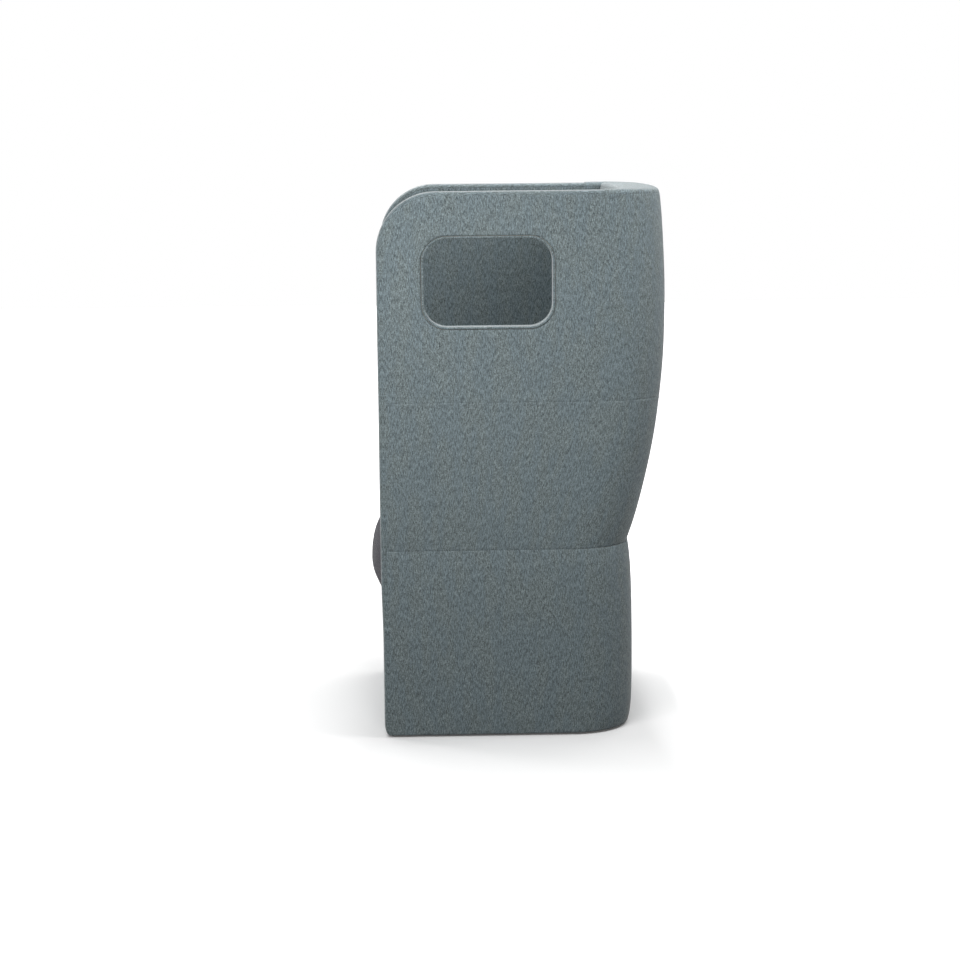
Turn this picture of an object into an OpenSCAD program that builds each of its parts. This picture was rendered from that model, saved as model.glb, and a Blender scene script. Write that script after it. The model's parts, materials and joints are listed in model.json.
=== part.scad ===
// Acoustic high back lounge chair: a fabric covered shell of plywood and foam round a fixed seat.
// The front faces -Y, and +X is the sitter's left, where the window is.
// Outlines are drawn with y measured rearwards from the front of the side panels, and in_frame()
// then centres the depth on the origin. The floor is at z = 0.

/* [Body] */
// Width over the side panels
body_w = 750; // [700:5:820]
// Height of the top above the floor
body_h = 1350; // [1300:5:1420]
// Height of the body's underside above the floor
body_bottom = 8; // [8:1:12]
// Height of the level joint between base and upper shell
waist_z = 470; // [460:1:480]
// Distance of the upper sewn seam below the top
seam_drop = 513; // [470:1:560]
// Thickness of a side panel
panel_t = 50; // [48:1:56]
// Plan radius of the rear corners
corner_r = 145; // [135:1:155]
// Radius of the top front corner of a side panel
front_top_r = 145; // [100:1:180]
// Rounding of the panel edges
edge_r = 10; // [6:1:11]
// Angle round the rear corner from the side to the upright seam, in degrees
seam_angle = 20; // [15:1:30]

/* [Rear profile] */
// Furthest reach of the rear corner behind the panel fronts
rear_y = 711.7; // [700:0.1:730]
// Distance of the furthest reach below the top
rear_drop = 278; // [250:1:310]
// Reach of the upper rear corner at the waist
rear_waist_y = 618.4; // [612:0.1:630]
// Reach of the upper rear corner at the top
rear_top_y = 698.8; // [690:0.1:708]
// How far the middle of the rear stands out beyond its corners
rear_crown = 12; // [4:1:16]
// Reach of the base's rear at its fullest
base_rear_y = 630; // [626:1:640]
// Height of the base's fullest point
base_full_z = 220; // [200:5:260]
// How much the base's rear falls in over base_full_h
base_fall = 4; // [2:0.5:6]
// Height over which the base's rear falls in
base_full_h = 250; // [220:5:280]
// How much the rear of the base is drawn in at the waist
rear_pinch = 6; // [3:0.5:8]
// How much the whole base is drawn in at the waist
side_pinch = 3; // [1:0.5:5]
// Height over which the pinch fades
pinch_h = 30; // [20:1:40]

/* [Layers] */
// Fabric cover
cover_t = 2; // [1.5:0.1:2.5]
// Foam on the outside of the panels
outer_foam_t = 12; // [10:1:14]
// Plywood of the panels and the base
board_t = 18; // [15:1:20]
// Bent plywood skin of the back
skin_t = 5; // [4:0.5:6]
// Foam of the inner back
back_foam_t = 25; // [20:1:28]
// Plywood of the inner back
back_board_t = 12; // [9:1:15]

/* [Inner back] */
// Inner face of the back at the waist, behind the panel fronts
back_low_y = 520; // [512:1:528]
// Lean of the inner back from upright, in degrees
back_rake = 5; // [3:0.5:6]
// Thickness of the back cushion at its crown
cushion_t = 65; // [55:1:75]
// How far the back cushion's middle stands out over its edges
cushion_crown = 9; // [5:1:12]
// Length of the back cushion up the inner back
cushion_h = 505; // [450:5:560]
// Side clearance of the back cushion at each end
cushion_side = 3; // [2:1:8]
// Rounding of the back cushion
cushion_r = 26; // [20:1:28]
// How far the cushion's sides are drawn in
cushion_draw = 5; // [2:0.5:8]
// Foam left between the cushion's core and its outside
cushion_wrap = 18; // [16:1:22]

/* [Seat] */
// How far the seat front stands out beyond the panel fronts
seat_proud = 27.1; // [15:0.1:35]
// Height at which the seat front stands out most
seat_nose_z = 406; // [400:1:412]
// Radius of the seat front
seat_nose_r = 208; // [190:1:230]
// Height of the seat front's lower edge
seat_low_z = 300; // [296:1:306]
// Height of the seat top at its front edge
seat_top_z = 510; // [500:1:520]
// Rounding between seat front and seat top
seat_edge_r = 25; // [15:1:35]
// Fall of the seat top towards the rear, in degrees
seat_fall = 2.5; // [1:0.25:3]
// How much the seat drops from its middle to its sides
seat_crown = 6; // [3:0.5:9]
// Rounding of the seat's side edges
seat_side_r = 13; // [8:1:13]
// Cover and wadding round the seat foam
seat_wrap = 14; // [14:0.5:18]

/* [Window] */
// Width of the window over its piping
window_w = 326; // [280:1:360]
// Height of the window over its piping
window_h = 226; // [180:1:240]
// Corner radius of the window over its piping
window_r = 63; // [40:1:80]
// Distance of the window behind the panel front
window_y = 108; // [90:1:130]
// Distance of the window's upper edge below the top
window_drop = 107; // [95:1:130]
// Width and depth of the piping
piping_w = 6; // [4:0.5:8]

/* [Base] */
// Recess of the front cover behind the panel fronts
front_recess = 28; // [24:1:34]
// Height of the seat frame's underside
frame_z = 340; // [334:1:344]
// Depth of the seat frame's rails
frame_t = 35; // [30:1:38]
// Width of the seat frame's rails
frame_rail_w = 55; // [45:1:65]
// Height of the rails that carry the seat frame
support_h = 40; // [30:1:50]
// Width of the rails that carry the seat frame
support_w = 40; // [36:1:48]
// Width of a webbing strap
strap_w = 50; // [40:1:60]
// Thickness of a webbing strap
strap_t = 2; // [1.5:0.1:2.5]
// Thickness of the felt pad on the webbing
pad_t = 3; // [2:0.5:4]
// Straps that run from front to rear
long_straps = 5; // [3:1:6]
// Straps that run from side to side
cross_straps = 4; // [3:1:5]

/* [Fastenings] */
// Thickness of a joining plate
plate_t = 3; // [2:0.5:4]
// Width of a joining plate
plate_w = 60; // [50:1:80]
// Height of a joining plate
plate_h = 110; // [90:1:120]
// Distance of the front joining plates behind the panel fronts
plate_front = 100; // [80:1:140]
// Distance between the two screws of a joining plate
screw_pitch = 66; // [50:1:70]
// Radius of a joining screw's shank
screw_r = 4; // [3:0.5:4.5]
// Radius of a joining screw's head
screw_head_r = 7; // [6:0.5:8]
// Height of a joining screw's head
screw_head_h = 3; // [2:0.5:4]
// Radius of a seat screw's shank
seat_screw_r = 3; // [2.5:0.5:4]

/* [Glides] */
// Radius of a glide pad
pad_r = 20; // [16:1:25]
// Height of a glide pad
pad_h = 5.2; // [4.5:0.1:5.2]
// Radius of the threaded stem
stem_r = 4; // [3:0.5:5]
// Length of the threaded stem above its pad's socket floor
stem_h = 43; // [38:1:60]
// Depth of the socket in the pad
socket_h = 3.2; // [2.5:0.1:3.5]
// Radius of the stem's collar
collar_r = 8; // [7:0.5:10]
// Radius of the threaded insert
insert_r = 6.5; // [6:0.5:8]
// Length of the threaded insert
insert_h = 16; // [12:1:17]
// Radius of the insert's flange
flange_r = 11; // [10:0.5:13]
// Thickness of the insert's flange
flange_h = 1.5; // [1:0.1:1.5]
// Distance of the glides from the body's sides
glide_side = 70; // [60:1:90]
// Distance of the front glides behind the panel fronts
glide_front = 100; // [90:1:120]
// Distance of the rear glides from the base's rear
glide_rear = 90; // [80:1:110]

/* [Hidden] */

// Clearance between curved layers
layer_gap = 0.3;
// Clearance of the back's ribs inside the faceted skin
rib_gap = 1;
// Radial running clearance of the glide stems
stem_gap = 0.08;
// Radial clearance of screws and inserts in their holes
hole_gap = 0.1;
// Overrun of every cut past the face that it opens
over = 1;
// Width of the plywood stile behind each side panel
stile_w = 40;
// Height at which the inner covers start, beside the seat
inner_low_z = 400;
// Number of back ribs
rib_count = 5;
// Steps round a rear corner before and after its upright seam, and across the rear
side_steps = 2;
corner_steps = 6;
back_steps = 6;
// Stations of the top that lie beside the panel, before the inner corner
inner_turn = 4;
// Steps up the base, the middle and the upper covers
base_steps = 3;
middle_steps = 5;
upper_steps = 7;
// Steps in the panel's and the window's corners, and in a panel's rounded edges
arc_steps = 8;
edge_steps = 3;
// Steps up the seat's nose, over its roundings, along its top, down its rear edge and across it
nose_steps = 8;
round_steps = 4;
top_steps = 3;
rear_steps = 2;
cushion_steps = 5;
// Places of the base's upper sections, as shares of the height over which the pinch fades
pinch_shares = [2, 1, 0.5, 0.25, 0];
// Share of the frame's depth that a seat screw goes into
seat_screw_share = 0.7;
// Share of a board that a joining screw goes into
join_share = 0.75;
// Where the seat's sole starts between its front edge and the step in front of the supports
seat_sole_share = 0.3;
// How much of the side rounding the cushion's profile and its edge rounding take up
cushion_side_share = 0.8;
cushion_round_share = 0.5;

half_w = body_w / 2;
inner_x = half_w - panel_t;
// Half the width between the side panels, less a clearance
inside_x = inner_x - layer_gap;
corner_x = half_w - corner_r;
board_out_x = half_w - cover_t - outer_foam_t;
board_in_x = board_out_x - board_t;
inner_foam_t = board_in_x - inner_x - cover_t;
board_depth = cover_t + outer_foam_t;
skin_in = board_depth + skin_t;
boards_top = body_h - edge_r;
frame_bottom = body_bottom + cover_t;
frame_top = frame_bottom + board_t;
seam_z = body_h - seam_drop;
window_z = body_h - window_drop - window_h;
// Lower end of the inner foam's strip in front of the seat supports
strip_low_z = frame_bottom + layer_gap;
// Angle round a rear corner at which its arc meets the crowned rear
rear_end = 90 - atan(2 * rear_crown / corner_x);
rear_reach = rear_y - corner_r * (1 - sin(rear_end)) + rear_crown;
y_shift = -(rear_reach - seat_proud) / 2;

shell_blue = [0.43, 0.48, 0.50];
shell_shade = [0.36, 0.41, 0.43];
seat_grey = [0.31, 0.31, 0.36];
ply = [0.80, 0.66, 0.46];
foam_white = [0.88, 0.86, 0.78];
felt = [0.25, 0.25, 0.26];
steel = [0.70, 0.71, 0.73];
nylon = [0.10, 0.10, 0.11];

// Depth of a circle's arc at a distance from its crown
function arc_drop(r, h) = r - sqrt(r * r - h * h);
// Radius of the arc that has a depth at a distance from its crown
function arc_radius(h, drop) = (h * h + drop * drop) / (2 * drop);
rear_z = body_h - rear_drop;
rear_low_r = arc_radius(rear_z - waist_z, rear_y - rear_waist_y);
rear_top_r = arc_radius(rear_drop, rear_y - rear_top_y);
// Reach of the upper rear corner at a height
function back_y(z) = rear_y - arc_drop(z < rear_z ? rear_low_r : rear_top_r, z - rear_z);
// Reach of the base's rear corner at a height
function base_y(z) = base_rear_y - base_fall * pow((z - base_full_z) / base_full_h, 2)
    - rear_pinch * exp(-(waist_z - z) / pinch_h);
// How far the base's cover is drawn in at a height
function base_inset(z) = side_pinch * exp(-(waist_z - z) / pinch_h)
    + (z < body_bottom + edge_r ? arc_drop(edge_r, body_bottom + edge_r - z) : 0);
// Reach of the rigid base, which the pinched waist sets
base_core_y = base_y(waist_z);
// Inner face of the back at a height
function inner_y(z) = back_low_y + (z - waist_z) * tan(back_rake);
// A depth behind the leaning inner face, measured level
function lean(t) = t / cos(back_rake);
// Where the flat side of the upper shell ends and its corner begins
function turn_y(z) = back_y(z) - corner_r;

function levels(low, high, n) = [for (i = [0:n]) low + (high - low) * i / n];
middle_levels = levels(waist_z, seam_z, middle_steps);
upper_levels = levels(seam_z, boards_top, upper_steps);
foam_levels = concat(middle_levels, [for (i = [1:upper_steps]) upper_levels[i]]);
base_levels = concat([body_bottom, body_bottom + cover_t + layer_gap, body_bottom + edge_r / 2,
    body_bottom + edge_r], levels(body_bottom + 4 * edge_r, waist_z - 3 * pinch_h, base_steps),
    [for (share = pinch_shares) waist_z - pinch_h * share]);

side_angles = [for (i = [0:side_steps]) seam_angle * i / side_steps];
function angles_to(end) = [for (i = [0:corner_steps]) seam_angle + (end - seam_angle) * i / corner_steps];
rear_angles = angles_to(rear_end);
turn_angles = concat(side_angles, [for (i = [1:corner_steps]) rear_angles[i]]);
core_angles = concat(side_angles, [for (i = [1:corner_steps]) angles_to(90)[i]]);

// Points round the left rear corner, at a depth inside a shell whose rear reaches to y
function corner_points(y, depth, angles) = [for (a = angles)
    [corner_x + (corner_r - depth) * cos(a), y - corner_r + (corner_r - depth) * sin(a)]];
// Points across the rear between two mirrored ends, without the ends
function rear_points(end, crown) = [for (i = [1:back_steps - 1]) let(share = 1 - 2 * i / back_steps)
    [end.x * share, end.y + crown * (1 - share * share)]];
function mirrored(points) = [for (i = [len(points) - 1:-1:0]) [-points[i].x, points[i].y]];
// A whole plan path from the left side round the rear to the right side
function wrap_path(y, depth, crown, angles, fronts = []) =
    let(left = concat([for (f = fronts) [half_w - depth, f]], corner_points(y, depth, angles)))
    concat(left, rear_points(left[len(left) - 1], crown), mirrored(left));
// The first angle is opened a little, so that a loft starts clear of the flat board in front of it
function open_angles(depth) = concat([asin(layer_gap / (corner_r - depth))],
    [for (i = [1:len(turn_angles) - 1]) turn_angles[i]]);

// Triangles of a loft through closed sections, each with an outer and an inner chain of points
function loft_faces(n, m) = concat(
    [for (i = [0:n - 2], j = [0:m - 1], t = [0:1])
        let(a = i * m + j, b = i * m + (j + 1) % m, c = b + m, d = a + m)
        t == 0 ? [a, b, c] : [a, c, d]],
    [for (j = [0:m / 2 - 2], t = [0:1]) t == 0 ? [j, m - 1 - j, j + 1] : [m - 1 - j, m - 2 - j, j + 1]],
    [for (j = [0:m / 2 - 2], t = [0:1]) let(o = (n - 1) * m)
        t == 0 ? [o + j, o + j + 1, o + m - 1 - j] : [o + m - 1 - j, o + j + 1, o + m - 2 - j]]);

module loft(sections) {
    polyhedron(points = [for (s = sections) each s],
        faces = loft_faces(len(sections), len(sections[0])));
}

// A wall between two stacks of plan paths, one stack for its outside and one for its inside
module wall(outside, inside, heights) {
    top = len(heights) - 1;
    loft([for (i = [0:len(outside[0]) - 1]) concat(
        [for (k = [0:top]) [outside[k][i].x, outside[k][i].y, heights[k]]],
        [for (k = [top:-1:0]) [inside[k][i].x, inside[k][i].y, heights[k]]])]);
}

module in_frame() {
    translate([0, y_shift, 0]) children();
}

// Mirrors a left piece to the right side
module on_side(side) {
    scale([side, 1, 1]) children();
}

// Extrudes an outline of y and z across the chair, from a low x
module across(x, t) {
    translate([x, 0, 0]) rotate([90, 0, 90]) linear_extrude(t) children();
}

// A vertical cylinder at a plan place
module upright(place, r, low, high) {
    translate([place.x, place.y, low]) cylinder(h = high - low, r = r, $fn = 48);
}

function arc(centre, r, from, to, n) = [for (i = [0:n]) let(a = from + (to - from) * i / n)
    [centre.x + r * cos(a), centre.y + r * sin(a)]];

// Outline of the window, drawn in by an amount from the outside of its piping
function window_outline(inset) =
    let(w = window_w / 2 - window_r, h = window_h / 2 - window_r, r = window_r - inset,
        y = window_y + window_w / 2, z = window_z + window_h / 2)
    concat(arc([y + w, z + h], r, 0, 90, arc_steps), arc([y - w, z + h], r, 90, 180, arc_steps),
        arc([y - w, z - h], r, 180, 270, arc_steps), arc([y + w, z - h], r, 270, 360, arc_steps));

lining_out = piping_w - cover_t;
piping_in_x = inner_x + piping_w;
piping_out_x = half_w - piping_w;

// Everything that the window takes out of the panel's layers
module window_cut() {
    across(inner_x - over, panel_t + 2 * over) polygon(window_outline(lining_out));
    across(piping_out_x, piping_w + over) polygon(window_outline(0));
    across(inner_x - over, piping_w + over) polygon(window_outline(0));
}

// Front and top of a panel layer that starts at a depth behind the panel's edge, with its rear edge
function panel_outline(depth, low, rear) = concat([[depth, low]],
    arc([front_top_r, body_h - front_top_r], front_top_r - depth, 180, 90, arc_steps), rear);

// Outer layers of the upper side panel end where the corner turns
function turn_edge() = [for (k = [len(foam_levels) - 1:-1:0]) [turn_y(foam_levels[k]), foam_levels[k]]];

module panel_board(side) {
    color(ply) in_frame() on_side(side) difference() {
        across(board_in_x, board_t) polygon(panel_outline(edge_r, waist_z, turn_edge()));
        if (side > 0) window_cut();
        for (place = join_places, z = join_heights) if (z > waist_z)
            joining_hole(place, z);
    }
}

module outer_foam(side) {
    color(foam_white) in_frame() on_side(side) difference() {
        across(board_out_x, outer_foam_t) polygon(panel_outline(edge_r, waist_z, turn_edge()));
        if (side > 0) window_cut();
    }
}

// The inner foam stops at the stile, and runs down in front of the seat supports as a narrow strip
function stile_y(z) = (z < waist_z ? base_core_y - corner_r : turn_y(z)) - stile_w;
strip_rear_y = front_recess + cover_t + outer_foam_t + board_t;

module inner_foam(side) {
    color(foam_white) in_frame() on_side(side) difference() {
        across(inner_x + cover_t, inner_foam_t) polygon(concat(
            panel_outline(edge_r, strip_low_z,
                [for (k = [len(foam_levels) - 1:-1:0]) [stile_y(foam_levels[k]), foam_levels[k]]]),
            [[stile_y(inner_low_z), inner_low_z], [strip_rear_y, inner_low_z],
                [strip_rear_y, strip_low_z]]));
        if (side > 0) window_cut();
        for (place = join_places)
            translate([board_in_x - plate_t - screw_head_h - layer_gap, place - plate_w / 2 - layer_gap,
                waist_z - plate_h / 2 - layer_gap])
                cube([plate_t + screw_head_h + layer_gap + over, plate_w + 2 * layer_gap,
                    plate_h + 2 * layer_gap]);
    }
}

module inner_cover(side) {
    color(shell_blue) in_frame() on_side(side) difference() {
        across(inner_x, cover_t) polygon(concat(
            panel_outline(edge_r, body_bottom, [[inner_y(boards_top) + lean(cover_t), boards_top],
                [inner_y(inner_low_z) + lean(cover_t), inner_low_z], [strip_rear_y, inner_low_z],
                [strip_rear_y, body_bottom]])));
        if (side > 0) window_cut();
    }
}

module middle_cover(side) {
    color(shell_blue) in_frame() on_side(side)
        loft(cover_sections([edge_r], middle_levels));
}

// Upright sections of a side cover at its flat places, then round the corner to its seam
function cover_sections(flats, heights) = concat(
    [for (y = flats) let(top = panel_top(y, heights))
        concat([for (z = heights) [half_w, y, flat_z(z, heights, top)]],
            [for (k = [len(heights) - 1:-1:0]) [half_w - cover_t, y, flat_z(heights[k], heights, top)]])],
    [for (a = side_angles) concat(
        [for (z = heights) cover_point(a, 0, z)],
        [for (k = [len(heights) - 1:-1:0]) cover_point(a, cover_t, heights[k])])]);
function cover_point(a, depth, z) = let(p = corner_points(back_y(z), depth, [a])[0]) [p.x, p.y, z];
// Top of a side cover at a distance behind the front, under the rounded corner
function panel_top(y, heights) = let(top = heights[len(heights) - 1])
    top < boards_top || y >= front_top_r ? top
    : body_h - front_top_r + sqrt(pow(front_top_r - edge_r, 2) - pow(front_top_r - y, 2));
function flat_z(z, heights, top) = let(low = heights[0], high = heights[len(heights) - 1])
    low + (z - low) * (top - low) / (high - low);

module upper_cover(side) {
    flats = [for (i = [0:arc_steps])
        front_top_r - (front_top_r - edge_r) * cos(90 * i / arc_steps)];
    color(shell_blue) in_frame() on_side(side) difference() {
        loft(cover_sections(flats, upper_levels));
        if (side > 0) window_cut();
    }
}

// Stations up the front of a panel, round its corner and along its top: place, then inward direction
top_end_y = turn_y(body_h);
edge_stations = concat([[[0, body_bottom], [1, 0]]],
    [for (i = [0:arc_steps]) let(a = 180 - 90 * i / arc_steps)
        [[front_top_r + front_top_r * cos(a), body_h - front_top_r + front_top_r * sin(a)],
            [-cos(a), -sin(a)]]],
    [[[top_end_y, body_h], [0, -1]]]);

// Rounded edge of a section, as distances across the panel and depths from its edge
function edge_profile(depth) = concat(
    [for (i = [0:edge_steps]) let(a = 90 * i / edge_steps)
        [edge_r - (edge_r - depth) * cos(a), edge_r - (edge_r - depth) * sin(a)]],
    [for (i = [edge_steps:-1:0]) let(a = 90 * i / edge_steps)
        [panel_t - edge_r + (edge_r - depth) * cos(a), edge_r - (edge_r - depth) * sin(a)]]);

module edge_strip(outside, inside, lift) {
    loop = concat(outside, [for (i = [len(inside) - 1:-1:0]) inside[i]]);
    loft([for (s = edge_stations) [for (p = loop)
        [half_w - p.x, s[0].x + s[1].x * p.y, s[0].y + s[1].y * p.y
            + (s[0].y == body_bottom ? lift : 0)]]]);
}

module edge_band(side) {
    color(shell_blue) in_frame() on_side(side)
        edge_strip(edge_profile(0), edge_profile(cover_t), 0);
}

module edge_foam(side) {
    outside = edge_profile(cover_t + layer_gap);
    inside = [for (p = outside) [p.x, edge_r]];
    color(foam_white) in_frame() on_side(side)
        edge_strip(outside, inside, cover_t + layer_gap);
}

module window_ring(x, t, outer) {
    across(x, t) difference() {
        polygon(window_outline(outer));
        polygon(window_outline(piping_w));
    }
}

module window_lining() {
    color(shell_blue) in_frame() window_ring(piping_in_x, panel_t - 2 * piping_w, lining_out);
}

module window_piping() {
    color(shell_blue) in_frame() for (x = [inner_x, piping_out_x]) window_ring(x, piping_w, 0);
}

// Plywood stiles join the side panels to the ribs of the back
stile_reach = sqrt(pow(corner_r - skin_in - rib_gap, 2) - pow(board_in_x - corner_x, 2)) - rib_gap;

module back_stiles() {
    color(ply) in_frame() for (side = [-1, 1]) on_side(side)
        across(inner_x + cover_t + layer_gap, inner_foam_t - layer_gap) polygon(concat(
            [for (z = foam_levels) [turn_y(z) - stile_w + layer_gap, z]],
            [for (k = [len(foam_levels) - 1:-1:0]) [turn_y(foam_levels[k]) + stile_reach, foam_levels[k]]]));
}

rib_pitch = (boards_top - waist_z - board_t) / (rib_count - 1);
rib_depth = skin_in + rib_gap;
rib_x = inner_x + cover_t;

// Plan of a rib between two heights, whose front edge is at y
function rib_outline(low, high, front) =
    let(y = min(back_y(low), back_y(high)), r = corner_r - rib_depth, cy = y - corner_r,
        start = max(acos((rib_x - corner_x) / r), asin((front - cy) / r)),
        left = concat([[min(rib_x, corner_x + r * cos(start)), front]],
            corner_points(y, rib_depth, [for (i = [0:corner_steps])
                start + (rear_end - start) * i / corner_steps])))
    concat(left, rear_points(left[len(left) - 1], rear_crown), mirrored(left));

module back_ribs() {
    color(ply) in_frame() for (i = [0:rib_count - 1]) {
        low = waist_z + i * rib_pitch;
        high = low + board_t;
        front = i == 0 ? inner_y(high) + lean(cover_t + back_foam_t)
            : inner_y(high) + lean(cover_t + back_foam_t + back_board_t) + layer_gap;
        translate([0, 0, low]) linear_extrude(board_t) polygon(rib_outline(low, high, front));
    }
}

// A leaning layer of the back, between two depths behind its inner face
module back_layer(half_x, from, to, low, high) {
    across(-half_x, 2 * half_x) polygon([[inner_y(low) + lean(from), low], [inner_y(low) + lean(to), low],
        [inner_y(high) + lean(to), high], [inner_y(high) + lean(from), high]]);
}

back_board_x = inner_x - skin_t;

module back_inner_board() {
    color(ply) in_frame() back_layer(back_board_x, cover_t + back_foam_t,
        cover_t + back_foam_t + back_board_t, waist_z + board_t, boards_top);
}

module back_inner_foam() {
    color(foam_white) in_frame() back_layer(inside_x, cover_t, cover_t + back_foam_t, waist_z,
        boards_top);
}

module back_inner_cover() {
    color(shell_blue) in_frame() back_layer(inside_x, 0, cover_t, waist_z, boards_top);
}

module back_wall(outer, inner, heights) {
    wall([for (z = heights) wrap_path(back_y(z), outer, rear_crown, open_angles(outer))],
        [for (z = heights) wrap_path(back_y(z), inner, rear_crown, open_angles(inner))], heights);
}

module back_skin() {
    color(ply) in_frame() back_wall(board_depth, skin_in, foam_levels);
}

module back_outer_foam() {
    color(foam_white) in_frame() back_wall(cover_t + layer_gap, board_depth - layer_gap, foam_levels);
}

module rear_cover(heights) {
    color(shell_shade) in_frame()
        wall([for (z = heights) wrap_path(back_y(z), 0, rear_crown, rear_angles)],
            [for (z = heights) wrap_path(back_y(z), cover_t, rear_crown, rear_angles)], heights);
}

module rear_middle_cover() {
    rear_cover(middle_levels);
}

module rear_upper_cover() {
    rear_cover(upper_levels);
}

// Inner edge of the back's top, point for point with the outer path round the corner and the rear
back_top_y = inner_y(body_h);
function top_inner_points(inset) =
    let(count = len(turn_angles) - 1, left = [for (i = [0:count])
        i <= inner_turn ? [inner_x + inset, top_end_y + (back_top_y + inset - top_end_y) * i / inner_turn]
        : [inner_x + inset - (inner_x + inset - corner_x) * (i - inner_turn) / (count - inner_turn),
            back_top_y + inset]])
    concat(left, [for (i = [1:back_steps - 1]) [corner_x * (1 - 2 * i / back_steps), back_top_y + inset]],
        mirrored(left));
function top_outer_points(inset) = wrap_path(rear_top_y, inset, rear_crown, turn_angles);

// Sections of the back's top: over the outer edge, across, and down the inner edge
function top_chain(i, depth) = concat(
    [for (k = [0:edge_steps]) let(a = 90 * k / edge_steps, inset = edge_r - (edge_r - depth) * cos(a),
        p = top_outer_points(inset)[i]) [p.x, p.y, body_h - edge_r + (edge_r - depth) * sin(a)]],
    [for (k = [edge_steps:-1:0]) let(a = 90 * k / edge_steps, inset = edge_r - (edge_r - depth) * cos(a),
        p = top_inner_points(inset)[i]) [p.x, p.y, body_h - edge_r + (edge_r - depth) * sin(a)]]);

module back_top_cover() {
    count = len(top_outer_points(0));
    color(shell_blue) in_frame() loft([for (i = [0:count - 1])
        let(inside = top_chain(i, cover_t))
        concat(top_chain(i, 0), [for (k = [len(inside) - 1:-1:0]) inside[k]])]);
}

module back_top_foam() {
    outer = top_outer_points(edge_r + layer_gap);
    inner = top_inner_points(edge_r + layer_gap);
    color(foam_white) in_frame() translate([0, 0, boards_top])
        linear_extrude(edge_r - cover_t - layer_gap)
            polygon(concat(outer, [for (i = [len(inner) - 1:-1:0]) inner[i]]));
}

// Plan of the rigid base at a depth, from its front edge
function core_path(depth, front) = wrap_path(base_core_y, depth, 0, core_angles, [front]);
// Room that the facets of the foam's corner need round the bent corner boards
facet_gap = layer_gap + corner_r * (1 - cos((90 - seam_angle) / corner_steps / 2));

module base_foam() {
    heights = [for (i = [1:len(base_levels) - 1]) base_levels[i]];
    color(foam_white) in_frame()
        wall([for (z = heights) wrap_path(base_y(z), base_inset(z) + cover_t + layer_gap, rear_crown,
                turn_angles, [edge_r])],
            [for (z = heights) core_path(board_depth - facet_gap, edge_r)], heights);
}

module lower_cover() {
    color(shell_blue) in_frame()
        wall([for (z = base_levels) wrap_path(base_y(z), base_inset(z), rear_crown, turn_angles,
                [edge_r])],
            [for (z = base_levels) wrap_path(base_y(z), base_inset(z) + cover_t, rear_crown,
                turn_angles, [edge_r])], base_levels);
}

// Plan of the bottom frame: it reaches forward under the side boards, and is cut back between them
module frame_plan() {
    front_x = board_in_x + layer_gap;
    polygon(concat(core_path(board_depth, edge_r),
        [[-front_x, edge_r], [-front_x, strip_rear_y], [front_x, strip_rear_y],
            [front_x, edge_r]]));
}

glide_x = half_w - glide_side;
glide_back_y = base_rear_y - glide_rear;
glide_places = [[glide_x, glide_front], [-glide_x, glide_front], [glide_x, glide_back_y],
    [-glide_x, glide_back_y]];

module bottom_frame() {
    color(ply) in_frame() difference() {
        translate([0, 0, frame_bottom]) linear_extrude(board_t) frame_plan();
        for (p = glide_places) upright(p, insert_r + hole_gap, frame_bottom - over, frame_top + over);
    }
}

module dust_cover() {
    color(felt) in_frame() difference() {
        translate([0, 0, body_bottom]) linear_extrude(cover_t) frame_plan();
        for (p = glide_places) upright(p, flange_r + rib_gap, body_bottom - over, frame_bottom + over);
    }
}

module base_side_board(side) {
    color(ply) in_frame() on_side(side) difference() {
        across(board_in_x, board_t) polygon([[edge_r, frame_top],
            [base_core_y - corner_r, frame_top], [base_core_y - corner_r, waist_z],
            [edge_r, waist_z]]);
        for (place = join_places, z = join_heights) if (z < waist_z) joining_hole(place, z);
    }
}

front_board_y = front_recess + cover_t + outer_foam_t;

module base_front_board() {
    color(ply) in_frame() translate([-inside_x, front_board_y, frame_bottom])
        cube([2 * inside_x, board_t, frame_z - frame_bottom]);
}

module front_foam() {
    color(foam_white) in_frame() translate([-inside_x, front_recess + cover_t, frame_bottom])
        cube([2 * inside_x, outer_foam_t, seat_low_z - cover_t - frame_bottom]);
}

module front_cover() {
    color(shell_blue) in_frame() translate([-inside_x, front_recess, body_bottom])
        cube([2 * inside_x, cover_t, seat_low_z - cover_t - body_bottom]);
}

module base_rear_board() {
    color(ply) in_frame() translate([-corner_x, base_core_y - board_depth - board_t, frame_top])
        cube([2 * corner_x, board_t, waist_z - frame_top]);
}

// Bent plywood corners, each a quarter of a tube
module base_corner_boards() {
    r = corner_r - board_depth;
    color(ply) in_frame() for (side = [-1, 1]) on_side(side)
        translate([corner_x, base_core_y - corner_r, frame_top]) intersection() {
            difference() {
                cylinder(h = waist_z - frame_top, r = r, $fn = 96);
                translate([0, 0, -over]) cylinder(h = waist_z - frame_top + 2 * over, r = r - board_t,
                    $fn = 96);
            }
            translate([0, 0, -over]) cube([corner_r, corner_r, waist_z - frame_top + 2 * over]);
        }
}

frame_half_x = inner_x - seat_wrap - 2 * layer_gap;
frame_front_y = front_board_y - board_t / 2;
seat_rear_y = inner_y(waist_z) - layer_gap;
frame_rear_y = seat_rear_y - seat_wrap - 2 * layer_gap;
rear_support_y = frame_rear_y - support_w;

module seat_support_rails() {
    color(ply) in_frame() {
        for (side = [-1, 1]) on_side(side) difference() {
            translate([board_in_x - support_w, strip_rear_y, frame_z - support_h])
                cube([support_w, rear_support_y - strip_rear_y, support_h]);
            for (y = seat_screw_places) upright([seat_screw_x, y], seat_screw_r + hole_gap,
                frame_z - support_h - over, frame_z + over);
        }
        translate([-inner_x, rear_support_y, frame_z - support_h])
            cube([2 * inner_x, support_w, support_h]);
    }
}

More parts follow.
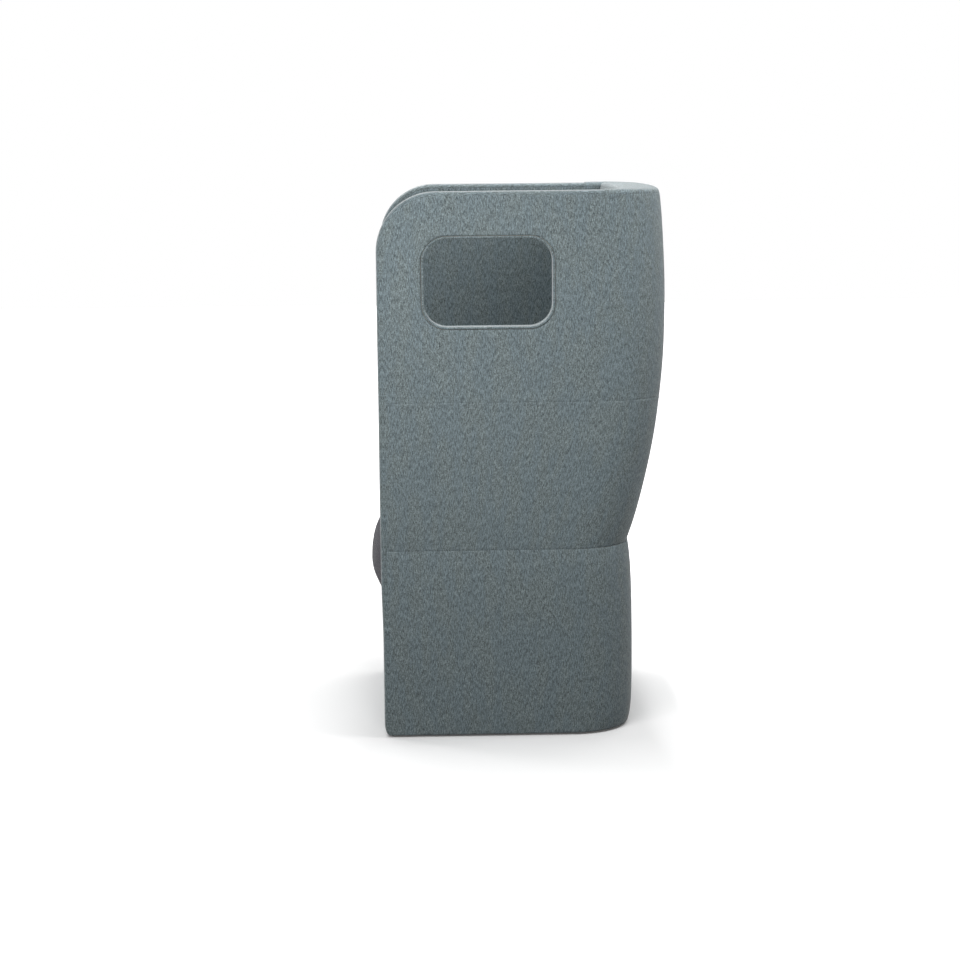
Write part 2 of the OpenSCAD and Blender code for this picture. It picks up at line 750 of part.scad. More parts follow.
seat_screw_x = (board_in_x - support_w + frame_half_x) / 2;
seat_screw_places = [strip_rear_y + frame_rail_w, rear_support_y - frame_rail_w];
seat_screw_head_r = 2 * seat_screw_r;
seat_screw_head_h = seat_screw_r;
seat_screw_end = frame_z + frame_t * seat_screw_share;

module seat_screws() {
    color(steel) in_frame() for (side = [-1, 1], y = seat_screw_places) {
        place = [side * seat_screw_x, y];
        upright(place, seat_screw_r, frame_z - support_h, seat_screw_end);
        upright(place, seat_screw_head_r, frame_z - support_h - seat_screw_head_h, frame_z - support_h);
    }
}

module seat_frame() {
    color(ply) in_frame() difference() {
        translate([-frame_half_x, frame_front_y, frame_z])
            cube([2 * frame_half_x, frame_rear_y - frame_front_y, frame_t]);
        translate([-frame_half_x + frame_rail_w, frame_front_y + frame_rail_w, frame_z - over])
            cube([2 * (frame_half_x - frame_rail_w), frame_rear_y - frame_front_y - 2 * frame_rail_w,
                frame_t + 2 * over]);
        for (side = [-1, 1], y = seat_screw_places) upright([side * seat_screw_x, y],
            seat_screw_r + hole_gap, frame_z - over, seat_screw_end + hole_gap);
    }
}

webbing_z = frame_z + frame_t;
pad_z = webbing_z + 2 * strap_t;
foam_z = pad_z + pad_t;
frame_l = frame_rear_y - frame_front_y;

module seat_webbing() {
    color(felt) in_frame() {
        for (i = [1:long_straps]) translate([-frame_half_x + 2 * frame_half_x * i / (long_straps + 1)
            - strap_w / 2, frame_front_y, webbing_z]) cube([strap_w, frame_l, strap_t]);
        for (i = [1:cross_straps]) translate([-frame_half_x, frame_front_y
            + frame_l * i / (cross_straps + 1) - strap_w / 2, webbing_z + strap_t])
            cube([2 * frame_half_x, strap_w, strap_t]);
    }
}

module seat_pad() {
    color(felt) in_frame() translate([-frame_half_x, frame_front_y, pad_z])
        cube([2 * frame_half_x, frame_l, pad_t]);
}

nose_y = seat_nose_r - seat_proud;
// Angle up the seat front at which its upper rounding begins, so that the top comes to its height
function nose_end() = asin((seat_top_z - seat_nose_z - seat_edge_r) / (seat_nose_r - seat_edge_r));
function nose_start(inset) = asin((seat_low_z - seat_nose_z) / (seat_nose_r - inset));
// Upper chain of the seat's profile: up the front, over the edge, back along the top and down the rear
function seat_upper(inset) =
    let(e = nose_end(), r = seat_edge_r,
        cy = nose_y - (seat_nose_r - r) * cos(e), cz = seat_nose_z + (seat_nose_r - r) * sin(e),
        low = nose_start(inset),
        rear = seat_rear_y - inset,
        rear_top = cz + (r - inset) - (rear - seat_side_r - cy) * tan(seat_fall))
    concat([for (i = [0:nose_steps]) let(a = low + (e - low) * i / nose_steps)
            [nose_y - (seat_nose_r - inset) * cos(a), seat_nose_z + (seat_nose_r - inset) * sin(a)]],
        [for (i = [1:round_steps]) let(a = e + (90 + seat_fall - e) * i / round_steps)
            [cy - (r - inset) * cos(a), cz + (r - inset) * sin(a)]],
        [for (i = [1:top_steps]) let(y = cy + (rear - seat_side_r - cy) * i / top_steps)
            [y, cz + (r - inset) - (y - cy) * tan(seat_fall)]],
        [for (i = [1:rear_steps]) let(a = 90 * (1 - i / rear_steps))
            [rear - seat_side_r + seat_side_r * cos(a), rear_top - seat_side_r + seat_side_r * sin(a)]],
        [[rear, seat_rear_low_z]]);

// Lower chain: along the front's underside, up a step in front of the supports, and to the rear
seat_skirt_z = frame_z + 2 * cover_t;
seat_rear_low_z = frame_z + seat_wrap / 2;
seat_step_y = front_board_y - board_t / 2;
function seat_lower(inset, count) =
    let(front = nose_y - (seat_nose_r - inset) * cos(nose_start(inset)), low = nose_steps + round_steps,
        start = front + (seat_step_y - front) * seat_sole_share,
        step = seat_step_y + cover_t, end = seat_rear_y - inset - cover_t)
    concat([for (i = [0:low]) [start + (seat_step_y - start) * i / low, seat_low_z]],
        [for (i = [low + 1:count - 1]) [step + (end - step) * (i - low - 1) / (count - low - 2),
            seat_skirt_z]]);

// Stations across the seat, closer together in its rounded side edges
seat_edge_stations = [for (i = [0:round_steps])
    inside_x - seat_side_r * (1 - sin(90 * i / round_steps))];
seat_stations = concat([for (i = [round_steps:-1:0]) -seat_edge_stations[i]],
    [for (i = [1:cushion_steps]) (inside_x - seat_side_r) * (2 * i / (cushion_steps + 1) - 1)],
    seat_edge_stations);
// How far the seat's profile is drawn in at a distance from the middle
function side_inset(x, half, r, crown) = let(e = max(0, abs(x) - (half - r)))
    min(r, arc_drop(r, min(r, e))) + crown * pow(x / half, 4);

module seat_body() {
    loft([for (x = seat_stations)
        let(inset = side_inset(x, inside_x, seat_side_r, seat_crown),
            top = seat_upper(inset), low = seat_lower(inset, len(top)))
        concat([for (p = top) [-x, p.x, p.y]], [for (i = [len(low) - 1:-1:0]) [-x, low[i].x, low[i].y]])]);
}

// Profile of the seat's foam, which the cover and its wadding go round
core_inset = seat_wrap + seat_crown;
function core_profile(extra, low) = let(top = seat_upper(core_inset - extra))
    [for (i = [0:len(top) - 2]) [top[i].x, max(low, top[i].y)]];

module seat_foam() {
    half_x = frame_half_x;
    core = core_profile(0, seat_low_z + cover_t);
    rear = seat_rear_y - core_inset;
    color(foam_white) in_frame() across(-half_x, 2 * half_x) polygon(concat(core,
        [[rear, foam_z], [frame_front_y - layer_gap, foam_z],
            [frame_front_y - layer_gap, seat_low_z + cover_t]]));
}

module seat_cover() {
    hollow = core_profile(layer_gap, seat_low_z);
    rear = seat_rear_y - core_inset + layer_gap;
    half_x = frame_half_x + layer_gap;
    color(seat_grey) in_frame() difference() {
        seat_body();
        across(-half_x, 2 * half_x) polygon(concat([[hollow[0].x, seat_low_z - over]], hollow,
            [[rear, foam_z], [frame_rear_y + layer_gap, foam_z],
                [frame_rear_y + layer_gap, seat_low_z - over]]));
    }
}

// The back cushion stands on the seat and leans on the inner back
seat_rear_top = seat_upper(0)[nose_steps + round_steps + top_steps].y;
cushion_z = seat_rear_top + cover_t;
cushion_half_x = inner_x - cushion_side;
cushion_up = [sin(back_rake), cos(back_rake)];
cushion_fore = [-cos(back_rake), sin(back_rake)];
// A place on the cushion, from its distance up the inner back and its distance in front of it
function cushion_point(up, fore) = [
    inner_y(cushion_z) - layer_gap + cushion_up.x * up + cushion_fore.x * fore,
    cushion_z + layer_gap + cushion_up.y * up + cushion_fore.y * fore];
// Front of the cushion's profile, from its lower edge over the crown to its upper edge
function cushion_front(inset, draw) =
    let(low = inset + draw + cushion_fore_lift, high = cushion_h - inset - draw,
        t = cushion_t - inset, r = cushion_r - inset * cushion_round_share, flat = t - cushion_crown)
    concat([[low, 0]],
        [for (i = [0:round_steps]) let(a = 90 * i / round_steps)
            [low + r - r * cos(a), flat - r + r * sin(a)]],
        [for (i = [1:cushion_steps]) let(share = i / (cushion_steps + 1))
            [low + r + (high - low - 2 * r) * share, flat + cushion_crown * sin(180 * share)]],
        [for (i = [0:round_steps]) let(a = 90 - 90 * i / round_steps)
            [high - r + r * cos(a), flat - r + r * sin(a)]],
        [[high, 0]]);
cushion_fore_lift = cushion_t * sin(back_rake);

cushion_stations = concat(
    [for (i = [0:round_steps]) let(a = 90 * i / round_steps) -cushion_half_x + cushion_r * (1 - cos(a))],
    [for (i = [1:cushion_steps]) (cushion_half_x - cushion_r) * (2 * i / (cushion_steps + 1) - 1)],
    [for (i = [round_steps:-1:0]) let(a = 90 * i / round_steps) cushion_half_x - cushion_r * (1 - cos(a))]);

module cushion_body() {
    loft([for (x = cushion_stations)
        let(inset = min(cushion_r, arc_drop(cushion_r, max(0, abs(x) - cushion_half_x + cushion_r))),
            draw = cushion_draw * (1 - pow(x / cushion_half_x, 2)),
            front = cushion_front(inset * cushion_side_share, draw), count = len(front),
            low = front[0].x, high = front[count - 1].x)
        concat([for (p = front) let(q = cushion_point(p.x, p.y),
                pull = 1 - cushion_draw / cushion_half_x * sin(180 * (p.x - low) / (high - low)))
                [-x * pull, q.x, q.y]],
            [for (i = [count - 1:-1:0]) let(up = low + (high - low) * (i + 1) / (count + 1),
                q = cushion_point(up, 0),
                pull = 1 - cushion_draw / cushion_half_x * sin(180 * (up - low) / (high - low)))
                [-x * pull, q.x, q.y]])]);
}

// Block of foam inside the back cushion, larger by an amount for the hollow that takes it
module cushion_core(extra, behind) {
    low = cushion_fore_lift + cushion_wrap + cushion_draw - extra;
    high = cushion_h - cushion_wrap - cushion_draw + extra;
    deep = cushion_t - cushion_wrap - cushion_crown + extra;
    half_x = cushion_half_x - cushion_r - cushion_draw + extra;
    across(-half_x, 2 * half_x) polygon([cushion_point(low, -behind), cushion_point(high, -behind),
        cushion_point(high, deep), cushion_point(low, deep)]);
}

module back_cushion_foam() {
    color(foam_white) in_frame() cushion_core(0, 0);
}

module back_cushion_cover() {
    color(seat_grey) in_frame() difference() {
        cushion_body();
        cushion_core(layer_gap, over);
    }
}

// Steel plates across the waist join the panel boards to the base
join_places = [plate_front, base_core_y - corner_r - stile_w - plate_w];
join_heights = [waist_z - screw_pitch / 2, waist_z + screw_pitch / 2];
join_depth = board_t * join_share;

module joining_hole(place, z) {
    translate([board_in_x - over, place, z]) rotate([0, 90, 0])
        cylinder(h = join_depth + over, r = screw_r + hole_gap, $fn = 32);
}

module joining_plates() {
    color(steel) in_frame() for (side = [-1, 1]) on_side(side) for (place = join_places)
        difference() {
            translate([board_in_x - plate_t, place - plate_w / 2, waist_z - plate_h / 2])
                cube([plate_t, plate_w, plate_h]);
            for (z = join_heights) translate([board_in_x - plate_t - over, place, z]) rotate([0, 90, 0])
                cylinder(h = plate_t + 2 * over, r = screw_r + hole_gap, $fn = 32);
        }
}

module joining_screws() {
    color(steel) in_frame() for (side = [-1, 1]) on_side(side) for (place = join_places, z = join_heights)
        translate([board_in_x - plate_t, place, z]) rotate([0, 90, 0]) {
            cylinder(h = plate_t + join_depth - over, r = screw_r, $fn = 32);
            translate([0, 0, -screw_head_h]) cylinder(h = screw_head_h, r = screw_head_r, $fn = 32);
        }
}

// Glides: a pad on the floor, and a threaded stem that turns in the pad and in the base's insert
flange_z = frame_bottom - flange_h;
collar_top = flange_z - layer_gap;
collar_low = pad_h + layer_gap;

module glide_inserts() {
    color(steel) in_frame() for (p = glide_places) difference() {
        union() {
            upright(p, insert_r, flange_z, frame_bottom + insert_h);
            upright(p, flange_r, flange_z, frame_bottom);
        }
        upright(p, stem_r + stem_gap, flange_z - over, frame_bottom + insert_h + over);
    }
}

module glide_pad(p) {
    color(nylon) in_frame() difference() {
        upright(p, pad_r, 0, pad_h);
        upright(p, stem_r + stem_gap, pad_h - socket_h, pad_h + over);
    }
}

module glide_stem(p) {
    color(steel) in_frame() {
        upright(p, stem_r, pad_h - socket_h + layer_gap, pad_h - socket_h + stem_h);
        translate([p.x, p.y, collar_low]) cylinder(h = collar_top - collar_low, r = collar_r, $fn = 6);
    }
}

bottom_frame();
dust_cover();
base_side_board(1);  // base_side_board_left
base_side_board(-1);  // base_side_board_right
base_front_board();
base_rear_board();
base_corner_boards();
seat_support_rails();
base_foam();
lower_cover();
front_foam();
front_cover();
glide_inserts();
seat_frame();
seat_webbing();
seat_pad();
seat_foam();
seat_cover();
seat_screws();
panel_board(1);  // panel_board_left
panel_board(-1);  // panel_board_right
outer_foam(1);  // outer_foam_left
outer_foam(-1);  // outer_foam_right
inner_foam(1);  // inner_foam_left
inner_foam(-1);  // inner_foam_right
middle_cover(1);  // middle_cover_left
middle_cover(-1);  // middle_cover_right
upper_cover(1);  // upper_cover_left
upper_cover(-1);  // upper_cover_right
inner_cover(1);  // inner_cover_left
inner_cover(-1);  // inner_cover_right
edge_foam(1);  // edge_foam_left
edge_foam(-1);  // edge_foam_right
edge_band(1);  // edge_band_left
edge_band(-1);  // edge_band_right
window_lining();
window_piping();
back_stiles();
back_ribs();
back_inner_board();
back_skin();
back_outer_foam();
back_top_foam();
rear_middle_cover();
rear_upper_cover();
back_top_cover();
back_inner_foam();
back_inner_cover();
back_cushion_foam();
back_cushion_cover();
joining_plates();
joining_screws();
glide_pad(glide_places[0]);  // glide_pad_front_left
glide_pad(glide_places[1]);  // glide_pad_front_right
glide_pad(glide_places[2]);  // glide_pad_rear_left
glide_pad(glide_places[3]);  // glide_pad_rear_right
glide_stem(glide_places[0]);  // glide_stem_front_left
glide_stem(glide_places[1]);  // glide_stem_front_right
glide_stem(glide_places[2]);  // glide_stem_rear_left
glide_stem(glide_places[3]);  // glide_stem_rear_right
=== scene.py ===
"""Looks of a high-backed acoustic lounge chair: a fabric shell of two side panels and a back round a seat.

Lengths are in metres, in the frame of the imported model: the chair faces -Y, +X is the sitter's left and
the floor is at z = 0. Outlines are worked out with y measured rearwards from the side panels' fronts.
"""

from __future__ import annotations

import json
import logging
import math
from dataclasses import dataclass
from enum import Enum
from typing import Any, Callable, Mapping, Sequence

import bmesh
import bpy
import numpy as np
from mathutils import Matrix, Vector
from mathutils.bvhtree import BVHTree
from mathutils.kdtree import KDTree

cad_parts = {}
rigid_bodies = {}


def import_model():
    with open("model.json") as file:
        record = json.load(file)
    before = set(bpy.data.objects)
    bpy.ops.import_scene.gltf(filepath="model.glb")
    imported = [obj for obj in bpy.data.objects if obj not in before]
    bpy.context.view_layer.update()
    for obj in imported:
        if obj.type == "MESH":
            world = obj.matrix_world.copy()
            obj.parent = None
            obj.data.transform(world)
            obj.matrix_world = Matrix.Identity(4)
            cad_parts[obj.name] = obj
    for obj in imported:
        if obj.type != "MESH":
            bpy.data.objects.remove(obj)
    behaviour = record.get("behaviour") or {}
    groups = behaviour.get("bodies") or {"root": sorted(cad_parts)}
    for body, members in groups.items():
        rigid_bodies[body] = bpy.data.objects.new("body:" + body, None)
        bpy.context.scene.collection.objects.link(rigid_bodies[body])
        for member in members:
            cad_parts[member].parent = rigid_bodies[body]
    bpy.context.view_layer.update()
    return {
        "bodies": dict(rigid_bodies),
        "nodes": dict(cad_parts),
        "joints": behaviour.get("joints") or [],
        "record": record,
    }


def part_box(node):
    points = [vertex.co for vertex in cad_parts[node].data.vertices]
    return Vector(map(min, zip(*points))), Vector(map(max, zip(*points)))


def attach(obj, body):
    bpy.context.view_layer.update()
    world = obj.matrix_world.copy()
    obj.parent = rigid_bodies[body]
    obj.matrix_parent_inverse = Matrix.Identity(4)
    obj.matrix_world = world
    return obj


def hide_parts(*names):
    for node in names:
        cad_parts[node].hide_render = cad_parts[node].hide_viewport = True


LOG = logging.getLogger("lounge_chair")
MM = 0.001
WEAVE = "weave"
BODY = "chair"
CORNERS = ("front_left", "front_right", "rear_left", "rear_right")
CRISP_ANGLE = 35
WHITE = (1.0, 1.0, 1.0, 1.0)

Array = np.ndarray
Item = bpy.types.Object
Node = bpy.types.Node
Socket = bpy.types.NodeSocket
Pair = tuple[float, float]
Triple = tuple[float, float, float]
Colour = tuple[float, float, float, float]


class Side(Enum):
    """A side of the chair, with the sign of its x."""

    LEFT = 1
    RIGHT = -1

    @property
    def word(self) -> str:
        """Name of the side in a node's name."""
        return self.name.lower()


# Arrays and sheets


def graded(length: float, step: float, edge: Sequence[float] = (0, 1, 2.2, 3.8, 6, 9, 13)) -> Array:
    """Distances along a length, close together near both ends, where a seam draws the cloth in.

    Args:
        length: Whole length.
        step: Distance between the places away from the ends.
        edge: Places near an end, in millimetres.

    Returns:
        Growing distances from 0 to the length.
    """
    near = np.array(edge) * MM
    count = max(1, round((length - 2 * near[-1]) / step))
    middle = np.linspace(near[-1], length - near[-1], count + 1)
    return np.concatenate([near[:-1], middle, length - near[-2::-1]])


def path_length(points: Array) -> Array:
    """Distance along a path at each of its points."""
    steps = np.linalg.norm(np.diff(points, axis=0), axis=1)
    return np.concatenate([[0.0], np.cumsum(steps)])


def quarter(count: int) -> Array:
    """Evenly spaced angles over a quarter turn."""
    return np.linspace(0, math.pi / 2, count)


def name_seed(name: str) -> int:
    """A seed that a piece gets from its name."""
    return sum(map(ord, name))


def net(x: Array | float, y: Array | float, z: Array | float) -> Array:
    """Points of a grid, from coordinates for its columns, for its rows or for each of its places."""
    return np.stack(np.broadcast_arrays(x, y, z), axis=-1)


def grid_weave(u: Array, v: Array, rows: int, columns: int) -> Array:
    """The weave's place at each point of a grid, from distances for its columns and its rows."""
    across, up = np.reshape(u, (-1, columns)), np.reshape(v, (rows, -1))
    return np.stack(np.broadcast_arrays(across, up), axis=-1)


def loft(sections: Array) -> tuple[Array, list[list[int]]]:
    """Joins closed sections into a closed form, with a face at each end."""
    count, size = sections.shape[:2]
    faces = [[i * size + j, i * size + (j + 1) % size, (i + 1) * size + (j + 1) % size, (i + 1) * size + j]
             for i in range(count - 1) for j in range(size)]
    faces.append(list(range(size))[::-1])
    faces.append([(count - 1) * size + j for j in range(size)])
    return sections.reshape(-1, 3), faces


def grid_faces(rows: int, columns: int, keep: Array | None = None) -> Array:
    """Quads of a grid whose points are numbered row by row.

    Args:
        rows: Number of rows of points.
        columns: Number of points in a row.
        keep: Which cells have a face, or None for all of them.

    Returns:
        One line of four point numbers for each face.
    """
    i, j = np.meshgrid(np.arange(rows - 1), np.arange(columns - 1), indexing="ij")
    corner = i * columns + j
    faces = np.stack([corner, corner + 1, corner + columns + 1, corner + columns], axis=-1)
    return faces.reshape(-1, 4) if keep is None else faces[keep]


def point_normals(points: Array, faces: Array) -> Array:
    """Unit normal at each point, averaged over its faces by their area."""
    a, b, c, d = (points[faces[:, k]] for k in range(4))
    face_normals = np.cross(c - a, d - b)
    normals = np.zeros_like(points)
    for k in range(4):
        np.add.at(normals, faces[:, k], face_normals)
    return normals / np.maximum(np.linalg.norm(normals, axis=1, keepdims=True), 1e-12)


def border_edges(faces: Array) -> Array:
    """Edges that only one face has, in that face's direction."""
    edges = np.concatenate([faces[:, [k, (k + 1) % 4]] for k in range(4)])
    key = np.sort(edges, axis=1)
    _, place, count = np.unique(key, axis=0, return_inverse=True, return_counts=True)
    return edges[count[place.ravel()] == 1]


def distance_to(points: Array, targets: Array) -> Array:
    """Distance from each point to the nearest of the targets."""
    tree = KDTree(len(targets))
    for number, target in enumerate(targets):
        tree.insert(target, number)
    tree.balance()
    return np.array([tree.find(p)[2] for p in points])


def soft_waves(points: Array, seed: int, lengths: Pair, count: int = 7) -> Array:
    """Slow waves through space, between about -1 and 1, that give cloth its unevenness.

    Args:
        points: Places at which the waves are wanted.
        seed: Seed of the waves' directions and lengths.
        lengths: Shortest and longest wave.
        count: Number of waves added together.

    Returns:
        Height of the waves at each point.
    """
    rng = np.random.default_rng(seed)
    directions = rng.normal(size=(count, 3))
    directions /= np.linalg.norm(directions, axis=1, keepdims=True)
    waves = rng.uniform(*lengths, size=count)
    phases = rng.uniform(0, 2 * math.pi, size=count)
    return np.sin(points @ (directions / waves[:, None] * 2 * math.pi).T + phases).sum(axis=1) / count**0.5


@dataclass
class Sheet:
    """A cut piece of cloth before it is sewn: its points, its faces and its weave's place at each point."""

    points: Array
    faces: Array
    weave: Array

    @classmethod
    def from_grid(cls, grid: Array, u: Array, v: Array, keep: Array | None = None) -> "Sheet":
        """Makes a sheet from a grid of points.

        Args:
            grid: Points, by row and column.
            u: Weave's distance along each row, for the columns.
            v: Weave's distance up each column, for the rows.
            keep: Which cells have a face, or None for all of them.

        Returns:
            The sheet, without the points that no face uses.
        """
        rows, columns = grid.shape[:2]
        weave = grid_weave(u, v, rows, columns).reshape(-1, 2)
        return cls(grid.reshape(-1, 3), grid_faces(rows, columns, keep), weave).trimmed()

    def trimmed(self) -> "Sheet":
        """The sheet without the points that no face uses."""
        used, faces = np.unique(self.faces, return_inverse=True)
        return Sheet(self.points[used], faces.reshape(-1, 4), self.weave[used])

    def facing(self, outward: Sequence[float] | Array) -> "Sheet":
        """The sheet with each face turned to look along a direction, or away from a middle for each face."""
        a, b, c, d = (self.points[self.faces[:, k]] for k in range(4))
        turned = (np.cross(c - a, d - b) * np.asarray(outward)).sum(axis=1) < 0
        faces = np.where(turned[:, None], self.faces[:, ::-1], self.faces)
        return Sheet(self.points, faces, self.weave)

    def face_middles(self) -> Array:
        """Middle of each face."""
        return self.points[self.faces].mean(axis=1)

    def mirrored(self) -> "Sheet":
        """The same sheet for the other side of the chair."""
        return Sheet(self.points * (-1, 1, 1), self.faces[:, ::-1], self.weave)


@dataclass(frozen=True)
class Tailor:
    """Sews a sheet into a cover: draws it in at its edges, puckers it there, and gives it its thickness."""

    thickness: float = 2 * MM
    seam_depth: float = 0.75 * MM
    seam_reach: float = 2.1 * MM
    seam_power: float = 1.5
    pucker: float = 0.2 * MM
    pucker_pitch: float = 8 * MM
    pucker_reach: float = 9 * MM
    pucker_gap: float = 1 * MM
    pucker_wander: float = 2.0
    pucker_waves: Pair = (0.04, 0.09)
    wave: float = 0.5 * MM
    wave_lengths: Pair = (0.11, 0.36)
    wave_gap: float = 30 * MM

    def sew(self, name: str, sheet: Sheet, seed: int, ease: Callable[[Array], Array] | None = None) -> Item:
        """Makes a cover from a sheet.

        Args:
            name: Name of the new object.
            sheet: The cut cloth, facing outwards.
            seed: Seed of its unevenness.
            ease: How far each point stands out from the sheet before sewing, or None.

        Returns:
            A closed, thin solid.
        """
        points = sheet.points
        normals = point_normals(points, sheet.faces)
        edges = border_edges(sheet.faces)
        away = distance_to(points, points[np.unique(edges)])
        phase = points.sum(axis=1) * 2 * math.pi / self.pucker_pitch
        puckers = np.sin(phase + self.pucker_wander * soft_waves(points, seed, self.pucker_waves))
        puckers *= np.exp(-((away / self.pucker_reach) ** 2)) * (1 - np.exp(-away / self.pucker_gap))
        waves = soft_waves(points, seed + 1, self.wave_lengths) * (1 - np.exp(-away / self.wave_gap))
        lift = self.wave * waves + self.pucker * puckers
        lift -= self.seam_depth * np.exp(-((away / self.seam_reach) ** self.seam_power))
        if ease is not None:
            lift += ease(points)
        outer = points + normals * lift[:, None]
        inner = outer - normals * self.thickness
        count = len(points)
        walls = np.stack([edges[:, 1], edges[:, 0], edges[:, 0] + count, edges[:, 1] + count], axis=1)
        faces = np.concatenate([sheet.faces, sheet.faces[:, ::-1] + count, walls])
        return mesh_object(name, np.concatenate([outer, inner]), faces, np.tile(sheet.weave, (2, 1)))


def add_object(name: str, data: bpy.types.ID) -> Item:
    """A new object, linked to the scene, that holds a mesh, a lamp or a camera."""
    item = bpy.data.objects.new(name, data)
    bpy.context.scene.collection.objects.link(item)
    return item


def mesh_object(name: str, points: Array, faces: Array | Sequence[Sequence[int]],
                weave: Array | None = None, sharp: float = 50) -> Item:
    """Makes an object from points and faces, with smooth shading between its sharp edges.

    Args:
        name: Name of the object and its mesh.
        points: Its points.
        faces: Point numbers of each face.
        weave: The weave's place at each point, or None.
        sharp: Angle in degrees above which an edge stays sharp.

    Returns:
        The new object, linked to the scene.
    """
    mesh = bpy.data.meshes.new(name)
    mesh.from_pydata(np.asarray(points).tolist(), [], [list(map(int, face)) for face in faces])
    if weave is not None:
        store_weave(mesh, weave)
    mesh.shade_smooth()
    mesh.set_sharp_from_angle(angle=math.radians(sharp))
    mesh.update()
    return add_object(name, mesh)


def store_weave(mesh: bpy.types.Mesh, weave: Array) -> None:
    """Stores the weave's place at each point as the mesh's UV map."""
    layer = mesh.uv_layers.get(WEAVE) or mesh.uv_layers.new(name=WEAVE)
    numbers = np.empty(len(mesh.loops), dtype=np.int64)
    mesh.loops.foreach_get("vertex_index", numbers)
    layer.data.foreach_set("uv", weave[numbers].astype(np.float32).ravel())


def mesh_points(item: Item, kind: str = "co") -> Array:
    """Places of the points of an object's mesh, or their normals where the kind says so."""
    flat = np.empty(len(item.data.vertices) * 3, dtype=np.float32)
    item.data.vertices.foreach_get(kind, flat)
    return flat.reshape(-1, 3).astype(np.float64)


def move_points(item: Item, points: Array) -> None:
    """Writes new places to an object's points."""
    item.data.vertices.foreach_set("co", points.astype(np.float32).ravel())
    item.data.update()


def settle(item: Item) -> None:
    """Turns an object's modifiers into its plain mesh."""
    graph = bpy.context.evaluated_depsgraph_get()
    mesh = bpy.data.meshes.new_from_object(item.evaluated_get(graph), depsgraph=graph)
    item.modifiers.clear()
    old = item.data
    item.data = mesh
    bpy.data.meshes.remove(old)
    mesh.name = item.name


def revolve(profile: Sequence[Pair], centre: Vector, sides: int = 64,
            wobble: Callable[[Array, Array], Array] | None = None) -> tuple[Array, Array]:
    """Turns a profile round an upright axis.

    Args:
        profile: Radius and height of each point; the first and last lie on the axis.
        centre: A point of the axis, whose height is added to the profile's.
        sides: Number of sides.
        wobble: Radius to add at an angle and a height, or None.

    Returns:
        Points and faces, closed at both ends.
    """
    ring = np.array(profile[1:-1])
    angles = np.arange(sides) * 2 * math.pi / sides
    radius = np.repeat(ring[:, :1], sides, axis=1)
    height = np.repeat(ring[:, 1:], sides, axis=1)
    if wobble is not None:
        radius = radius + wobble(angles[None, :], height)
    points = np.stack([centre.x + radius * np.cos(angles), centre.y + radius * np.sin(angles),
                       centre.z + height], axis=-1).reshape(-1, 3)
    ends = [[centre.x, centre.y, centre.z + profile[0][1]], [centre.x, centre.y, centre.z + profile[-1][1]]]
    rings = len(ring)
    turn = (np.arange(sides) + 1) % sides
    faces = [[i * sides + j, i * sides + turn[j], (i + 1) * sides + turn[j], (i + 1) * sides + j]
             for i in range(rings - 1) for j in range(sides)]
    low, high = rings * sides, rings * sides + 1
    faces += [[low, turn[j], j] for j in range(sides)]
    faces += [[high, (rings - 1) * sides + j, (rings - 1) * sides + turn[j]] for j in range(sides)]
    return np.concatenate([points, ends]), faces


# Node graphs


class Graph:
    """A node tree, with short ways to add and join its nodes."""

    def __init__(self, tree: bpy.types.NodeTree) -> None:
        """Takes an empty tree."""
        self.tree = tree

    def add(self, kind: str, inputs: Mapping[str | int, Any] | None = None, **settings: Any) -> Node:
        """Adds a node.

        Args:
            kind: Type of the node.
            inputs: Sockets or values for its inputs, by name or number.
            settings: Its own settings.

        Returns:
            The new node.
        """
        node = self.tree.nodes.new(kind)
        for name, value in settings.items():
            setattr(node, name, value)
        for name, value in (inputs or {}).items():
            if isinstance(value, Socket):
                self.tree.links.new(value, node.inputs[name])
            else:
                node.inputs[name].default_value = value
        return node

    def socket(self, name: str, kind: str, default: Any = None, out: bool = False) -> str:
        """Adds an input or an output to the tree, and returns its identifier."""
        way = "OUTPUT" if out else "INPUT"
        item = self.tree.interface.new_socket(name=name, in_out=way, socket_type=kind)
        if default is not None:
            item.default_value = default
        return item.identifier


